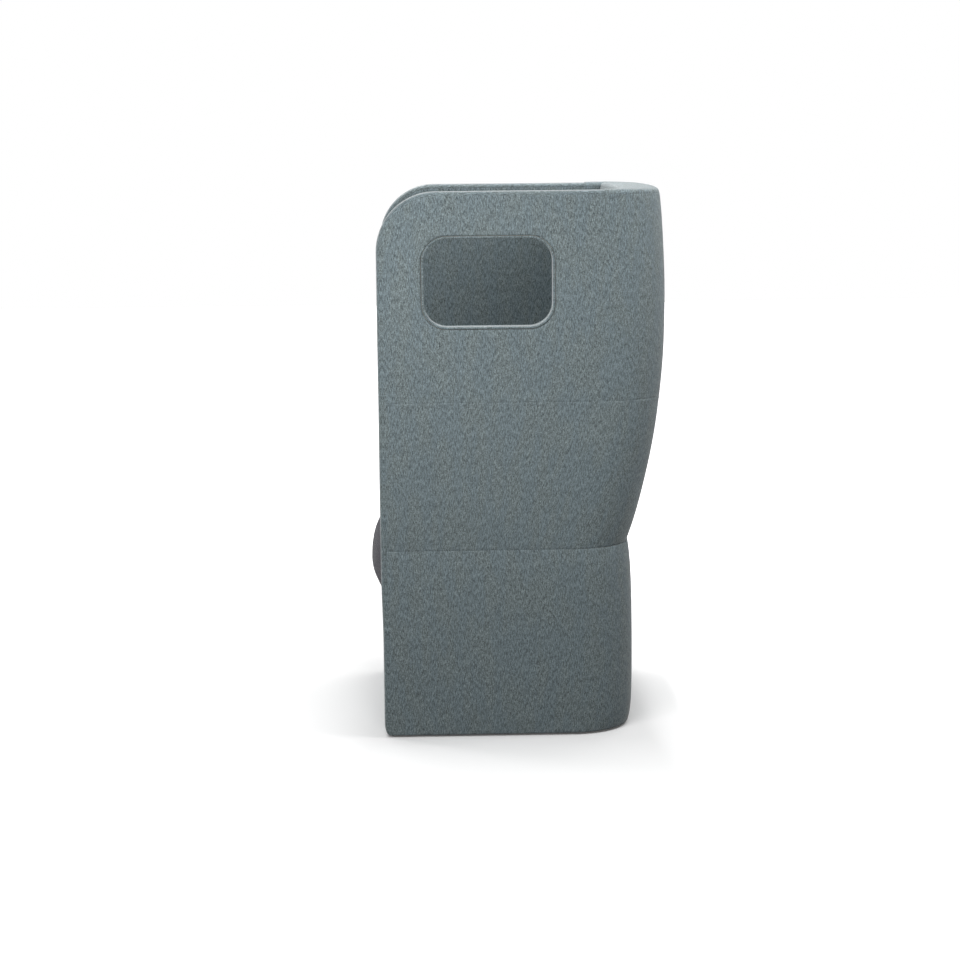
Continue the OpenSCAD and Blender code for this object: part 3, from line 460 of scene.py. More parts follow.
class ShaderGraph(Graph):
    """A material's tree or a shader group's tree."""

    def math(self, operation: str, *values: Any) -> Socket:
        """Result of a calculation on sockets and numbers."""
        return self.add("ShaderNodeMath", dict(enumerate(values)), operation=operation).outputs[0]

    def choose(self, share: Any, first: Any, second: Any) -> Socket:
        """Number mixed from two numbers."""
        return self.add("ShaderNodeMix", {0: share, 2: first, 3: second}).outputs[0]

    def mix(self, share: Any, first: Any, second: Any, blend: str = "MIX") -> Socket:
        """Colour mixed from two colours."""
        node = self.add("ShaderNodeMix", {0: share, 6: first, 7: second}, data_type="RGBA", blend_type=blend)
        return node.outputs[2]

    def noise(self, vector: Any, scale: Any, detail: float = 2.0, roughness: float = 0.5) -> Socket:
        """Cloudy value between 0 and 1."""
        return self.add("ShaderNodeTexNoise", {"Vector": vector, "Scale": scale, "Detail": detail,
                                               "Roughness": roughness}).outputs[0]

    def spread(self, value: Any, low: float, high: float, to_low: Any = 0.0, to_high: Any = 1.0) -> Socket:
        """Value eased from one range to another."""
        return self.add("ShaderNodeMapRange", {0: value, 1: low, 2: high, 3: to_low, 4: to_high},
                        interpolation_type="SMOOTHSTEP").outputs[0]

    def combine(self, x: Any, y: Any, z: Any = 0.0) -> Socket:
        """Vector made of three values."""
        return self.add("ShaderNodeCombineXYZ", {0: x, 1: y, 2: z}).outputs[0]

    def bump(self, height: Socket, strength: float, distance: float) -> Socket:
        """Normal bent by a height."""
        return self.add("ShaderNodeBump", {"Height": height, "Strength": strength,
                                           "Distance": distance}).outputs[0]

    def seen(self) -> Socket:
        """1 for what the camera, a gloss or clear glass looks at, and 0 for what only gives light."""
        path = self.add("ShaderNodeLightPath")
        gloss = self.math("MAXIMUM", path.outputs["Is Glossy Ray"], path.outputs["Is Transmission Ray"])
        return self.math("MAXIMUM", path.outputs["Is Camera Ray"], gloss)


def empty_graph(owner: bpy.types.Material | bpy.types.World) -> ShaderGraph:
    """The cleared node tree of a new material or world."""
    owner.use_nodes = True
    owner.node_tree.nodes.clear()
    return ShaderGraph(owner.node_tree)


def shader_group(name: str, inputs: Sequence[tuple[str, str, Any]], outputs: Sequence[tuple[str, str]],
                 build: Callable[[ShaderGraph, Node], Mapping[str, Any]]) -> bpy.types.NodeTree:
    """Builds a shader group once.

    Args:
        name: Name of the group.
        inputs: Name, type and default of each input.
        outputs: Name and type of each output.
        build: Makes the nodes from the group's input node and returns what each output shows.

    Returns:
        The group, old or new.
    """
    found = bpy.data.node_groups.get(name)
    if found:
        return found
    graph = ShaderGraph(bpy.data.node_groups.new(name, "ShaderNodeTree"))
    for label, kind, default in inputs:
        graph.socket(label, kind, default)
    for label, kind in outputs:
        graph.socket(label, kind, out=True)
    shown = build(graph, graph.add("NodeGroupInput"))
    graph.add("NodeGroupOutput", dict(shown))
    return graph.tree


@dataclass(frozen=True)
class MelangeWeave:
    """A plain weave of flecked yarns, as a group that each woven cloth uses with values of its own."""

    yarn_power: float = 0.6
    crossing: Pair = (0.45, 0.55)
    yarn_shift: float = 0.618
    warp_turn: float = 7.31
    weft_turn: float = 5.77
    weft_layer: float = 13.0
    weft_calm: Pair = (0.25, 0.375)
    fleck_rough: float = 0.7
    dark_flecks: Pair = (0.3, 0.52)
    light_flecks: Pair = (0.5, 0.7)
    slub_turn: float = 0.83
    slub_rate: float = 90.0
    slub_rough: float = 0.6
    slub_band: Pair = (0.3, 0.7)
    slub_shade: Pair = (0.55, 1.45)
    drift_rate: Pair = (30.0, 7.0)
    drift_band: Pair = (0.4, 0.6)
    drift_share: float = 0.35
    # Darkening of the colour where the yarns dip: painted shade in the weave's gaps.
    relief_shade: Pair = (0.42, 0.66)
    fuzz_rate: float = 2600.0
    fuzz_height: float = 0.35

    def group(self) -> bpy.types.NodeTree:
        """The weave's group, built on its first use."""
        return shader_group(
            "Woven melange",
            [("Place", "NodeSocketVector", None), ("Pitch", "NodeSocketFloat", 1.2 * MM),
             ("Fleck", "NodeSocketFloat", 4 * MM)]
            + [(tone, "NodeSocketColor", None) for tone in ("Dark", "Middle", "Light", "Tint")],
            [("Color", "NodeSocketColor"), ("Height", "NodeSocketFloat")],
            self.draw)

    @staticmethod
    def bulge(graph: ShaderGraph, way: Socket) -> Socket:
        """A yarn's roundness: 0 at its edges and 1 along its middle."""
        return graph.math("SINE", graph.math("MULTIPLY", graph.math("FRACT", way), math.pi))

    def yarn(self, graph: ShaderGraph, across: Socket, along: Socket) -> Socket:
        """Height of a yarn that is round across itself and dips where another one covers it."""
        return graph.math("MULTIPLY", graph.math("POWER", across, self.yarn_power),
                          graph.math("MULTIPLY_ADD", along, *self.crossing))

    def draw(self, graph: ShaderGraph, given: Node) -> Mapping[str, Any]:
        """Builds the nodes that give the colour of the yarns, with painted shade in the gaps between yarns,
        and their height.

        Args:
            graph: The group's graph.
            given: The group's input node.

        Returns:
            What each output of the group shows.
        """
        place = graph.add("ShaderNodeSeparateXYZ", {0: given.outputs["Place"]})
        x, y = place.outputs[0], place.outputs[1]
        across = graph.math("DIVIDE", x, given.outputs["Pitch"])
        up = graph.math("DIVIDE", y, given.outputs["Pitch"])
        warp_number, weft_number = graph.math("FLOOR", across), graph.math("FLOOR", up)
        over = graph.math("FLOORED_MODULO", graph.math("ADD", warp_number, weft_number), 2.0)
        warp_round, weft_round = self.bulge(graph, across), self.bulge(graph, up)
        height = graph.choose(over, self.yarn(graph, warp_round, weft_round),
                              self.yarn(graph, weft_round, warp_round))
        streaks = graph.math("DIVIDE", 1.0, given.outputs["Fleck"])
        warp_start = graph.math("MULTIPLY", warp_number, self.yarn_shift)
        weft_start = graph.math("MULTIPLY", weft_number, self.yarn_shift)
        warp_fleck = graph.noise(graph.combine(
            graph.math("MULTIPLY", warp_number, self.warp_turn),
            graph.math("MULTIPLY_ADD", y, streaks, warp_start)), 1.0, 2.0, self.fleck_rough)
        weft_fleck = graph.noise(graph.combine(
            graph.math("MULTIPLY_ADD", x, streaks, weft_start),
            graph.math("MULTIPLY", weft_number, self.weft_turn),
            self.weft_layer), 1.0, 2.0, self.fleck_rough)
        fleck = graph.choose(over, warp_fleck, graph.math("MULTIPLY_ADD", weft_fleck, *self.weft_calm))
        tone = graph.mix(graph.spread(fleck, *self.dark_flecks), given.outputs["Dark"],
                         given.outputs["Middle"])
        tone = graph.mix(graph.spread(fleck, *self.light_flecks), tone, given.outputs["Light"])
        drift = graph.noise(graph.combine(*(graph.math("MULTIPLY", way, rate)
                                            for way, rate in zip((x, y), self.drift_rate))), 1.0, 3.0)
        share = graph.spread(drift, *self.drift_band, 0.0, self.drift_share)
        tone = graph.mix(share, tone, given.outputs["Tint"])
        slub = graph.noise(graph.combine(
            graph.math("MULTIPLY", warp_number, self.slub_turn),
            graph.math("MULTIPLY_ADD", y, self.slub_rate, warp_start)), 1.0, 2.0, self.slub_rough)
        # The colour is darkened where the yarns sink, which is painted shade in the gaps, and varied at
        # random along the slubs.
        gap_shade_and_slub_tone = graph.math("MULTIPLY", graph.math("MULTIPLY_ADD", height, *self.relief_shade),
                           graph.spread(slub, *self.slub_band, *self.slub_shade))
        tone = graph.mix(1.0, tone, graph.combine(gap_shade_and_slub_tone, gap_shade_and_slub_tone, gap_shade_and_slub_tone), "MULTIPLY")
        fuzz = graph.noise(given.outputs["Place"], self.fuzz_rate)
        return {"Color": tone, "Height": graph.math("MULTIPLY_ADD", fuzz, self.fuzz_height, height)}


def grain_fleck(graph: ShaderGraph, given: Node) -> Mapping[str, Any]:
    """Builds an even scatter of light and dark specks with a height of its own."""
    coarse = graph.noise(given.outputs["Place"], graph.math("DIVIDE", 1.0, given.outputs["Size"]), 3.0, 0.65)
    tone = graph.mix(graph.spread(coarse, 0.35, 0.65), given.outputs["Dark"], given.outputs["Light"])
    return {"Color": tone, "Height": coarse}


def fleck_group() -> bpy.types.NodeTree:
    """The group of specks, for foam, felt, plastic and metal."""
    return shader_group(
        "Fine specks",
        [("Place", "NodeSocketVector", None), ("Size", "NodeSocketFloat", MM),
         ("Dark", "NodeSocketColor", None), ("Light", "NodeSocketColor", None)],
        [("Color", "NodeSocketColor"), ("Height", "NodeSocketFloat")],
        grain_fleck)


def linear(red: int, green: int, blue: int) -> Colour:
    """Linear colour of a display colour given from 0 to 255."""
    def channel(value: float) -> float:
        """Linear value of one channel."""
        share = value / 255
        return share / 12.92 if share <= 0.04045 else ((share + 0.055) / 1.055) ** 2.4
    return channel(red), channel(green), channel(blue), 1.0


def shaded(colour: Sequence[float], share: float) -> Colour:
    """A linear colour made lighter or darker."""
    return colour[0] * share, colour[1] * share, colour[2] * share, 1.0


@dataclass(frozen=True)
class Finish:
    """A material's recipe and the record's slot that it is for. Each kind builds its own shader."""

    name: str
    slot: str

    def material(self) -> bpy.types.Material:
        """The finish's material, built on its first use."""
        found = bpy.data.materials.get(self.name)
        if found:
            return found
        made = bpy.data.materials.new(self.name)
        graph = empty_graph(made)
        graph.add("ShaderNodeOutputMaterial", {"Surface": self.surface(graph).outputs[0]})
        return made

    def surface(self, graph: ShaderGraph) -> Node:
        """Builds the nodes and returns the shader at their end."""
        raise NotImplementedError


@dataclass(frozen=True)
class WovenCloth(Finish):
    """Wool upholstery cloth in a plain weave, with flecked yarns."""

    middle: Colour
    tint: Colour
    pitch: float = 1.6 * MM
    fleck: float = 5 * MM
    contrast: float = 0.75
    rough: float = 0.92
    specular: float = 0.25
    sheen: float = 0.42
    sheen_rough: float = 0.4
    relief: float = 0.55
    depth: float = 0.3 * MM

    def surface(self, graph: ShaderGraph) -> Node:
        """Builds the cloth from its weave map."""
        place = graph.add("ShaderNodeUVMap", uv_map=WEAVE).outputs[0]
        weave = graph.add("ShaderNodeGroup", {
            "Place": place, "Pitch": self.pitch, "Fleck": self.fleck,
            "Dark": shaded(self.middle, 1 - self.contrast), "Middle": self.middle,
            "Light": shaded(self.middle, 1 + self.contrast), "Tint": self.tint},
            node_tree=MelangeWeave().group())
        return graph.add("ShaderNodeBsdfPrincipled", {
            "Base Color": weave.outputs["Color"], "Roughness": self.rough,
            "Specular IOR Level": self.specular, "Sheen Weight": self.sheen,
            "Sheen Roughness": self.sheen_rough,
            "Normal": graph.bump(weave.outputs["Height"], self.relief, self.depth)})


@dataclass(frozen=True)
class Specked(Finish):
    """A plain material with fine specks: foam, felt, thread, moulded nylon or plated steel."""

    dark: Colour
    light: Colour
    size: float
    rough: Pair
    relief: float
    depth: float
    metallic: float = 0.0

    def surface(self, graph: ShaderGraph) -> Node:
        """Builds the specks in object space."""
        place = graph.add("ShaderNodeTexCoord").outputs["Object"]
        specks = graph.add("ShaderNodeGroup", {"Place": place, "Size": self.size, "Dark": self.dark,
                                               "Light": self.light}, node_tree=fleck_group())
        height = specks.outputs["Height"]
        return graph.add("ShaderNodeBsdfPrincipled", {
            "Base Color": specks.outputs["Color"], "Roughness": graph.spread(height, 0.3, 0.7, *self.rough),
            "Metallic": self.metallic, "Normal": graph.bump(height, self.relief, self.depth)})


@dataclass(frozen=True)
class Plywood(Finish):
    """Birch plywood: long grain on its faces and dark and light layers through its thickness."""

    light: Colour
    dark: Colour
    layer: float = 1.5 * MM
    grain_rate: Triple = (60.0, 60.0, 4.0)
    layer_share: float = 0.22

    def surface(self, graph: ShaderGraph) -> Node:
        """Builds the grain and the layers in object space."""
        place = graph.add("ShaderNodeTexCoord").outputs["Object"]
        stretched = graph.add("ShaderNodeMapping", {"Vector": place, "Scale": self.grain_rate}).outputs[0]
        grain = graph.noise(stretched, 1.0, 4.0, 0.6)
        parts = graph.add("ShaderNodeSeparateXYZ", {0: place})
        layers = graph.math("SINE", graph.math("MULTIPLY", graph.math(
            "ADD", parts.outputs[0], parts.outputs[1]), math.pi / self.layer))
        tone = graph.mix(graph.spread(grain, 0.35, 0.7), self.light, self.dark)
        tone = graph.mix(graph.spread(layers, 0.2, 0.9, 0.0, self.layer_share), tone, self.dark)
        return graph.add("ShaderNodeBsdfPrincipled", {
            "Base Color": tone, "Roughness": graph.spread(grain, 0.3, 0.7, 0.5, 0.7),
            "Normal": graph.bump(grain, 0.3, 0.3 * MM)})


SHELL_CLOTH = WovenCloth("shell cloth", "shell_fabric", linear(127, 139, 141), linear(120, 137, 146))
SEAT_CLOTH = WovenCloth("seat cloth", "seat_fabric", linear(50, 49, 57), linear(46, 46, 60),
                        contrast=0.45, pitch=1.4 * MM, sheen=0.14)
WEBBING = WovenCloth("elastic webbing", "dark_felt", linear(58, 55, 50), linear(70, 64, 54),
                     contrast=0.5, pitch=2.2 * MM, fleck=20 * MM, sheen=0.1)
FOAM = Specked("upholstery foam", "foam", linear(206, 198, 176), linear(232, 227, 210),
               size=1.6 * MM, rough=(0.85, 1.0), relief=0.7, depth=0.8 * MM)
FELT = Specked("black felt", "dark_felt", linear(30, 30, 32), linear(64, 64, 68),
               size=0.9 * MM, rough=(0.9, 1.0), relief=0.6, depth=0.5 * MM)
STEEL = Specked("plated steel", "zinc_steel", linear(168, 170, 174), linear(206, 208, 212),
                size=2.5 * MM, rough=(0.22, 0.42), relief=0.1, depth=0.05 * MM, metallic=1.0)
NYLON = Specked("black nylon", "black_nylon", linear(18, 18, 20), linear(36, 36, 39),
                size=0.7 * MM, rough=(0.38, 0.55), relief=0.2, depth=0.08 * MM)
DARK_THREAD = Specked("dark thread", "seat_fabric", linear(58, 58, 66), linear(84, 84, 94),
                      size=0.5 * MM, rough=(0.6, 0.8), relief=0.5, depth=0.1 * MM)
PLY = Plywood("birch plywood", "plywood", linear(214, 186, 142), linear(176, 138, 92))
SLOT_FINISHES = {finish.slot: finish for finish in (SHELL_CLOTH, SEAT_CLOTH, FOAM, PLY, FELT, STEEL, NYLON)}


def fit_out(item: Item, finish: Finish, *nodes: str, body: str = BODY) -> None:
    """Gives a piece its finish and its body, and hides the nodes that it stands for.

    Args:
        item: The finished piece.
        finish: Its finish, which names its slot.
        nodes: The nodes that it replaces.
        body: The body that it rides on.
    """
    item.data.materials.clear()
    item.data.materials.append(finish.material())
    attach(item, body)
    if nodes:
        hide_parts(*nodes)
    LOG.info("%s: %d faces, %s", item.name, len(item.data.polygons), finish.name)


# Geometry node trees


class GeometryGraph(Graph):
    """A geometry tree that turns a path into a mesh."""

    def __init__(self, name: str) -> None:
        """Makes the tree with its geometry sockets."""
        super().__init__(bpy.data.node_groups.new(name, "GeometryNodeTree"))
        self.socket("Geometry", "NodeSocketGeometry")
        self.socket("Geometry", "NodeSocketGeometry", out=True)

    def step(self, kind: str, inputs: Mapping[str | int, Any], **settings: Any) -> Socket:
        """First output of a new geometry node."""
        return self.add(f"GeometryNode{kind}", inputs, **settings).outputs[0]

    def end(self, geometry: Socket, dress: Socket) -> None:
        """Makes the geometry real, gives it its material and joins it to the tree's output."""
        real = self.step("RealizeInstances", {"Geometry": geometry})
        dressed = self.step("SetMaterial", {"Geometry": real, "Material": dress})
        self.add("NodeGroupOutput", {"Geometry": dressed})


class PipingTree:
    """Sweeps a round piping along a closed path and stores the weave's place on it."""

    def __init__(self) -> None:
        """Builds the tree with its radius and material as inputs."""
        graph = GeometryGraph("Piping")
        self.tree = graph.tree
        self.radius = graph.socket("Radius", "NodeSocketFloat", 3 * MM)
        self.dress = graph.socket("Material", "NodeSocketMaterial")
        given = graph.add("NodeGroupInput").outputs
        path = graph.step("MeshToCurve", {"Mesh": given["Geometry"]})
        ring = graph.step("CurvePrimitiveCircle", {"Resolution": 14, "Radius": given["Radius"]})
        marked_path, along = self.marked(graph, path)
        marked_ring, round_it = self.marked(graph, ring)
        tube = graph.step("CurveToMesh", {"Curve": marked_path, "Profile Curve": marked_ring})
        place = graph.add("ShaderNodeCombineXYZ", {0: along, 1: round_it}).outputs[0]
        stored = graph.step("StoreNamedAttribute", {"Geometry": tube, "Name": WEAVE, "Value": place},
                            data_type="FLOAT2", domain="CORNER")
        graph.end(graph.step("SetShadeSmooth", {"Geometry": stored}), given["Material"])

    @staticmethod
    def marked(graph: GeometryGraph, curve: Socket) -> tuple[Socket, Socket]:
        """Notes the distance along a curve before it is swept."""
        along = graph.add("GeometryNodeSplineParameter")
        note = graph.add("GeometryNodeCaptureAttribute", {"Geometry": curve})
        note.capture_items.new("FLOAT", "Length")
        graph.tree.links.new(along.outputs["Length"], note.inputs["Length"])
        return note.outputs["Geometry"], note.outputs["Length"]

    def make(self, name: str, path: Array, radius: float, finish: Finish) -> Item:
        """Sweeps the piping along a closed path.

        Args:
            name: Name of the piece.
            path: Points of the path, without the first one repeated.
            radius: Radius of the piping.
            finish: Its finish.

        Returns:
            The piping as a plain mesh.
        """
        edges = [[k, (k + 1) % len(path)] for k in range(len(path))]
        item = line_object(name, path, edges)
        return run_tree(item, self.tree, {self.radius: radius, self.dress: finish.material()})


class RowTree:
    """Sets a small motif at even steps along open or closed paths: stitches, staples."""

    def __init__(self) -> None:
        """Builds the tree, with the motif, its pitch, its wander and its material as inputs."""
        graph = GeometryGraph("Row of motifs")
        self.tree = graph.tree
        self.motif = graph.socket("Motif", "NodeSocketObject")
        self.pitch = graph.socket("Pitch", "NodeSocketFloat", 5 * MM)
        self.wander = graph.socket("Wander", "NodeSocketFloat", 0.05)
        self.seed = graph.socket("Seed", "NodeSocketInt", 1)
        self.dress = graph.socket("Material", "NodeSocketMaterial")
        given = graph.add("NodeGroupInput").outputs
        path = graph.step("MeshToCurve", {"Mesh": given["Geometry"]})
        even = graph.step("ResampleCurve", {"Curve": path, "Length": given["Pitch"]}, mode="LENGTH")
        outward = graph.step("InputNamedAttribute", {"Name": "outward"}, data_type="FLOAT_VECTOR")
        tangent = graph.step("InputTangent", {})
        first = graph.add("FunctionNodeAlignRotationToVector", {"Vector": outward}, axis="Z").outputs[0]
        second = graph.add("FunctionNodeAlignRotationToVector", {"Rotation": first, "Vector": tangent},
                           axis="X", pivot_axis="Z").outputs[0]
        span = graph.add("ShaderNodeMath", {0: given["Wander"], 1: -1.0}, operation="MULTIPLY").outputs[0]
        chance = graph.add("FunctionNodeRandomValue", {2: span, 3: given["Wander"], "Seed": given["Seed"]},
                           data_type="FLOAT").outputs[1]
        turn = graph.add("FunctionNodeAxisAngleToRotation", {"Axis": (0.0, 0.0, 1.0), "Angle": chance})
        turned = graph.add("FunctionNodeRotateRotation", {"Rotation": second, "Rotate By": turn.outputs[0]},
                           rotation_space="LOCAL").outputs[0]
        shape = graph.add("GeometryNodeObjectInfo", {"Object": given["Motif"]}).outputs["Geometry"]
        placed = graph.step("InstanceOnPoints", {"Points": even, "Instance": shape, "Rotation": turned})
        graph.end(placed, given["Material"])

    def make(self, name: str, paths: Sequence[tuple[Array, Array]], motif: Item, pitch: float,
             finish: Finish, wander: float = 0.05, seed: int = 1) -> Item:
        """Sets a motif along paths, and removes the motif itself.

        Args:
            name: Name of the piece.
            paths: Points of each path and the outward direction at each.
            motif: The shape to repeat, lying along X with its top towards Z.
            pitch: Distance between two of them.
            finish: Their finish.
            wander: Largest turn away from the path, in radians.
            seed: Seed of the turns.

        Returns:
            All the motifs as one plain mesh.
        """
        points, normals = (np.concatenate(parts) for parts in zip(*paths))
        edges: list[list[int]] = []
        start = 0
        for line, _ in paths:
            edges += [[start + k, start + k + 1] for k in range(len(line) - 1)]
            start += len(line)
        item = line_object(name, points, edges)
        store = item.data.attributes.new("outward", "FLOAT_VECTOR", "POINT")
        store.data.foreach_set("vector", normals.astype(np.float32).ravel())
        run_tree(item, self.tree, {self.motif: motif, self.pitch: pitch, self.wander: wander,
                                   self.seed: seed, self.dress: finish.material()})
        bpy.data.objects.remove(motif)
        return item


def line_object(name: str, points: Array, edges: Sequence[Sequence[int]]) -> Item:
    """An object that holds only a path's points and edges."""
    mesh = bpy.data.meshes.new(name)
    mesh.from_pydata(points.tolist(), list(edges), [])
    return add_object(name, mesh)


def run_tree(item: Item, tree: bpy.types.NodeTree, values: Mapping[str, Any]) -> Item:
    """Runs a geometry tree on an object and keeps the result as its plain mesh.

    Args:
        item: The object that holds the path.
        tree: The geometry tree.
        values: The tree's inputs, by identifier.

    Returns:
        The same object with its new mesh.
    """
    modifier = item.modifiers.new("shape", "NODES")
    modifier.node_group = tree
    for identifier, value in values.items():
        modifier[identifier] = value
    settle(item)
    return item


def thread_motif(name: str, length: float, radius: float, rise: float, sides: int = 6) -> Item:
    """A short length of thread or wire along X whose ends dive into what it is fixed to.

    Args:
        name: Name of the motif.
        length: Its length along X.
        radius: Radius of the thread.
        rise: How far its middle stands out.
        sides: Sides of the thread.

    Returns:
        The motif.
    """
    shares = np.linspace(-1, 1, 9)
    dive = shares**4
    spine = np.stack([shares * length / 2, 0 * shares, rise * (1 - dive) - 2 * radius * dive], axis=1)
    angles = np.arange(sides) * 2 * math.pi / sides
    widths = radius * np.sqrt(np.clip(1 - dive**2, 0.1, 1))
    ring = np.stack([0 * angles, np.cos(angles), np.sin(angles)], axis=1)
    points, faces = loft(spine[:, None, :] + widths[:, None, None] * ring[None])
    mesh = bpy.data.meshes.new(name)
    mesh.from_pydata(points.tolist(), [], faces)
    mesh.shade_smooth()
    return add_object(name, mesh)


# The shell's form


@dataclass(frozen=True)
class ShellForm:
    """Sizes and curves of the shell, with y measured rearwards from the panels' fronts."""

    front_y: float
    half_w: float
    top: float
    bottom: float
    waist: float
    seam: float
    panel_t: float = 50 * MM
    corner_r: float = 145 * MM
    front_top_r: float = 145 * MM
    edge_r: float = 10 * MM
    seam_angle: float = math.radians(20)
    rear_y: float = 714.4 * MM
    rear_drop: float = 278 * MM
    rear_waist_y: float = 621.8 * MM
    rear_top_y: float = 700 * MM
    rear_crown: float = 12 * MM
    base_rear_y: float = 631 * MM
    base_full_z: float = 220 * MM
    base_fall: float = 4 * MM
    base_full_h: float = 250 * MM
    rear_pinch: float = 4 * MM
    side_pinch: float = 5 * MM
    pinch_h: float = 42 * MM
    body_pinch_h: float = 62 * MM
    toe_round: float = 4 * MM
    back_low_y: float = 520 * MM
    back_rake: float = math.radians(5)
    toe_depth: float = 11 * MM
    toe_h: float = 30 * MM
    rear_toe: float = 9 * MM
    rear_toe_h: float = 26 * MM
    hem_drop: float = 3.5 * MM
    base_lean: float = 3.6 * MM
    lean_top: float = 430 * MM
    lean_h: float = 200 * MM

    @classmethod
    def from_frame(cls) -> "ShellForm":
        """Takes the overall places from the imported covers."""
        band_low, band_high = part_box("edge_band_left")
        upper_low, upper_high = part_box("upper_cover_left")
        return cls(front_y=band_low[1], half_w=upper_high[0], top=band_high[2], bottom=band_low[2],
                   waist=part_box("middle_cover_left")[0][2], seam=upper_low[2])

    @property
    def inner_x(self) -> float:
        """Inner face of a side panel."""
        return self.half_w - self.panel_t

    @property
    def corner_x(self) -> float:
        """Middle of a rear corner's arc."""
        return self.half_w - self.corner_r

    @property
    def rear_end(self) -> float:
        """Angle at which a rear corner's arc meets the crowned rear."""
        return math.pi / 2 - math.atan(2 * self.rear_crown / self.corner_x)

    @property
    def seam_back(self) -> float:
        """Rear reach at the upper seam, where distances round the body are measured."""
        return float(self.back_y(np.array(self.seam)))

    @property
    def shoulder(self) -> float:
        """Height at which the covers end and the edge's rounding begins."""
        return self.top - self.edge_r

    def back_y(self, z: Array) -> Array:
        """Reach of the upper rear corner at a height."""
        full = self.top - self.rear_drop
        low_fall = self.rear_y - self.rear_waist_y
        low_h = full - self.waist
        top_fall = self.rear_y - self.rear_top_y
        low_r = (low_h**2 + low_fall**2) / (2 * low_fall)
        top_r = (self.rear_drop**2 + top_fall**2) / (2 * top_fall)
        r = np.where(z < full, low_r, top_r)
        return self.rear_y - (r - np.sqrt(r**2 - (z - full) ** 2))

    def base_y(self, z: Array) -> Array:
        """Reach of the base's rear corner at a height."""
        return (self.base_rear_y - self.base_fall * ((z - self.base_full_z) / self.base_full_h) ** 2
                - self.rear_pinch * np.exp(-(self.waist - z) / self.pinch_h)
                - self.rear_toe * np.exp(-(z - self.hem) / self.rear_toe_h))

    def base_inset(self, z: Array) -> Array:
        """How far the base's cover is drawn in at a height."""
        under = np.clip(self.hem + self.toe_round - z, 0, self.toe_round)
        return (self.side_pinch * np.exp(-(self.waist - z) / self.pinch_h)
                + self.toe_round - np.sqrt(self.toe_round**2 - under**2))

    @property
    def hem(self) -> float:
        """Height of the covers' lower edges, which hang a little below the frame."""
        return self.bottom - self.hem_drop

    def lean(self, z: Array) -> Array:
        """How far the base's front stands back at a height."""
        share = np.clip((self.lean_top - z) / self.lean_h, 0, 1)
        return self.base_lean * share**2 * (3 - 2 * share)

    def body_inset(self, z: Array) -> Array:
        """How far the body's cover is drawn in above the waist at a height."""
        return self.side_pinch * np.exp(-(z - self.waist) / self.body_pinch_h)

    def inner_y(self, z: Array) -> Array:
        """Inner face of the back at a height."""
        return self.back_low_y + (z - self.waist) * math.tan(self.back_rake)

    def panel_top(self, y: Array, inset: float) -> Array:
        """Height of a panel's edge at a distance behind its front, drawn in by an amount."""
        r = self.front_top_r - inset
        away = np.clip(self.front_top_r - y, 0, r)
        return self.top - self.front_top_r + np.sqrt(r**2 - away**2)

    def wrap(self, q: Array, reach: Array, inset: Array, lean: Array | float = 0.0) -> Array:
        """Places round the body at some heights.

        Args:
            q: Where round the body: 0 to 1 along the left side, to 2 round its corner, to 3 to the middle of
                the rear, and on to 6 at the front of the right side.
            reach: Rear reach of the corners at each height.
            inset: How far the outline is drawn in at each height.
            lean: How far the front stands back at each height.

        Returns:
            x and y for each height and place.
        """
        reach = np.reshape(reach, (-1, 1))
        start = self.edge_r + np.reshape(lean, (-1, 1))
        r = self.corner_r - np.reshape(inset, (-1, 1))
        half = np.minimum(q, 6 - q)[None, :]
        turn = reach - self.corner_r
        angle = self.rear_end * np.clip(half - 1, 0, 1)
        share = 1 - np.clip(half - 2, 0, 1)
        x = np.where(q <= 3, 1, -1) * (self.corner_x + r * np.cos(angle)) * share
        side = start + (turn - start) * np.clip(half, 0, 1)
        y = np.where(half <= 1, side, turn + r * np.sin(angle)) + self.rear_crown * (1 - share**2)
        return np.stack([x, y + self.front_y], axis=-1)

    def body_grid(self, q: Array, z: Array) -> Array:
        """Grid of points round the body above the waist, for places round it and heights."""
        plan = self.wrap(q, self.back_y(z), self.body_inset(z))
        return net(plan[..., 0], plan[..., 1], z[:, None])

    def stations(self, first: float, last: float, reach: float, step: float) -> tuple[Array, Array]:
        """Places round the body between two of them, graded towards both.

        Args:
            first: Where the piece starts.
            last: Where it ends.
            reach: Rear reach at the height where distances are measured.
            step: Distance between places away from the ends.

        Returns:
            The places, and their distances from the first.
        """
        dense = np.linspace(first, last, 2000)
        lengths = path_length(self.wrap(dense, np.array([reach]), np.array([0.0]))[0])
        distances = graded(lengths[-1], step)
        return np.interp(distances, lengths, dense), distances

    @property
    def seam_place(self) -> float:
        """Where round the body the left upright seam runs."""
        return 1 + self.seam_angle / self.rear_end


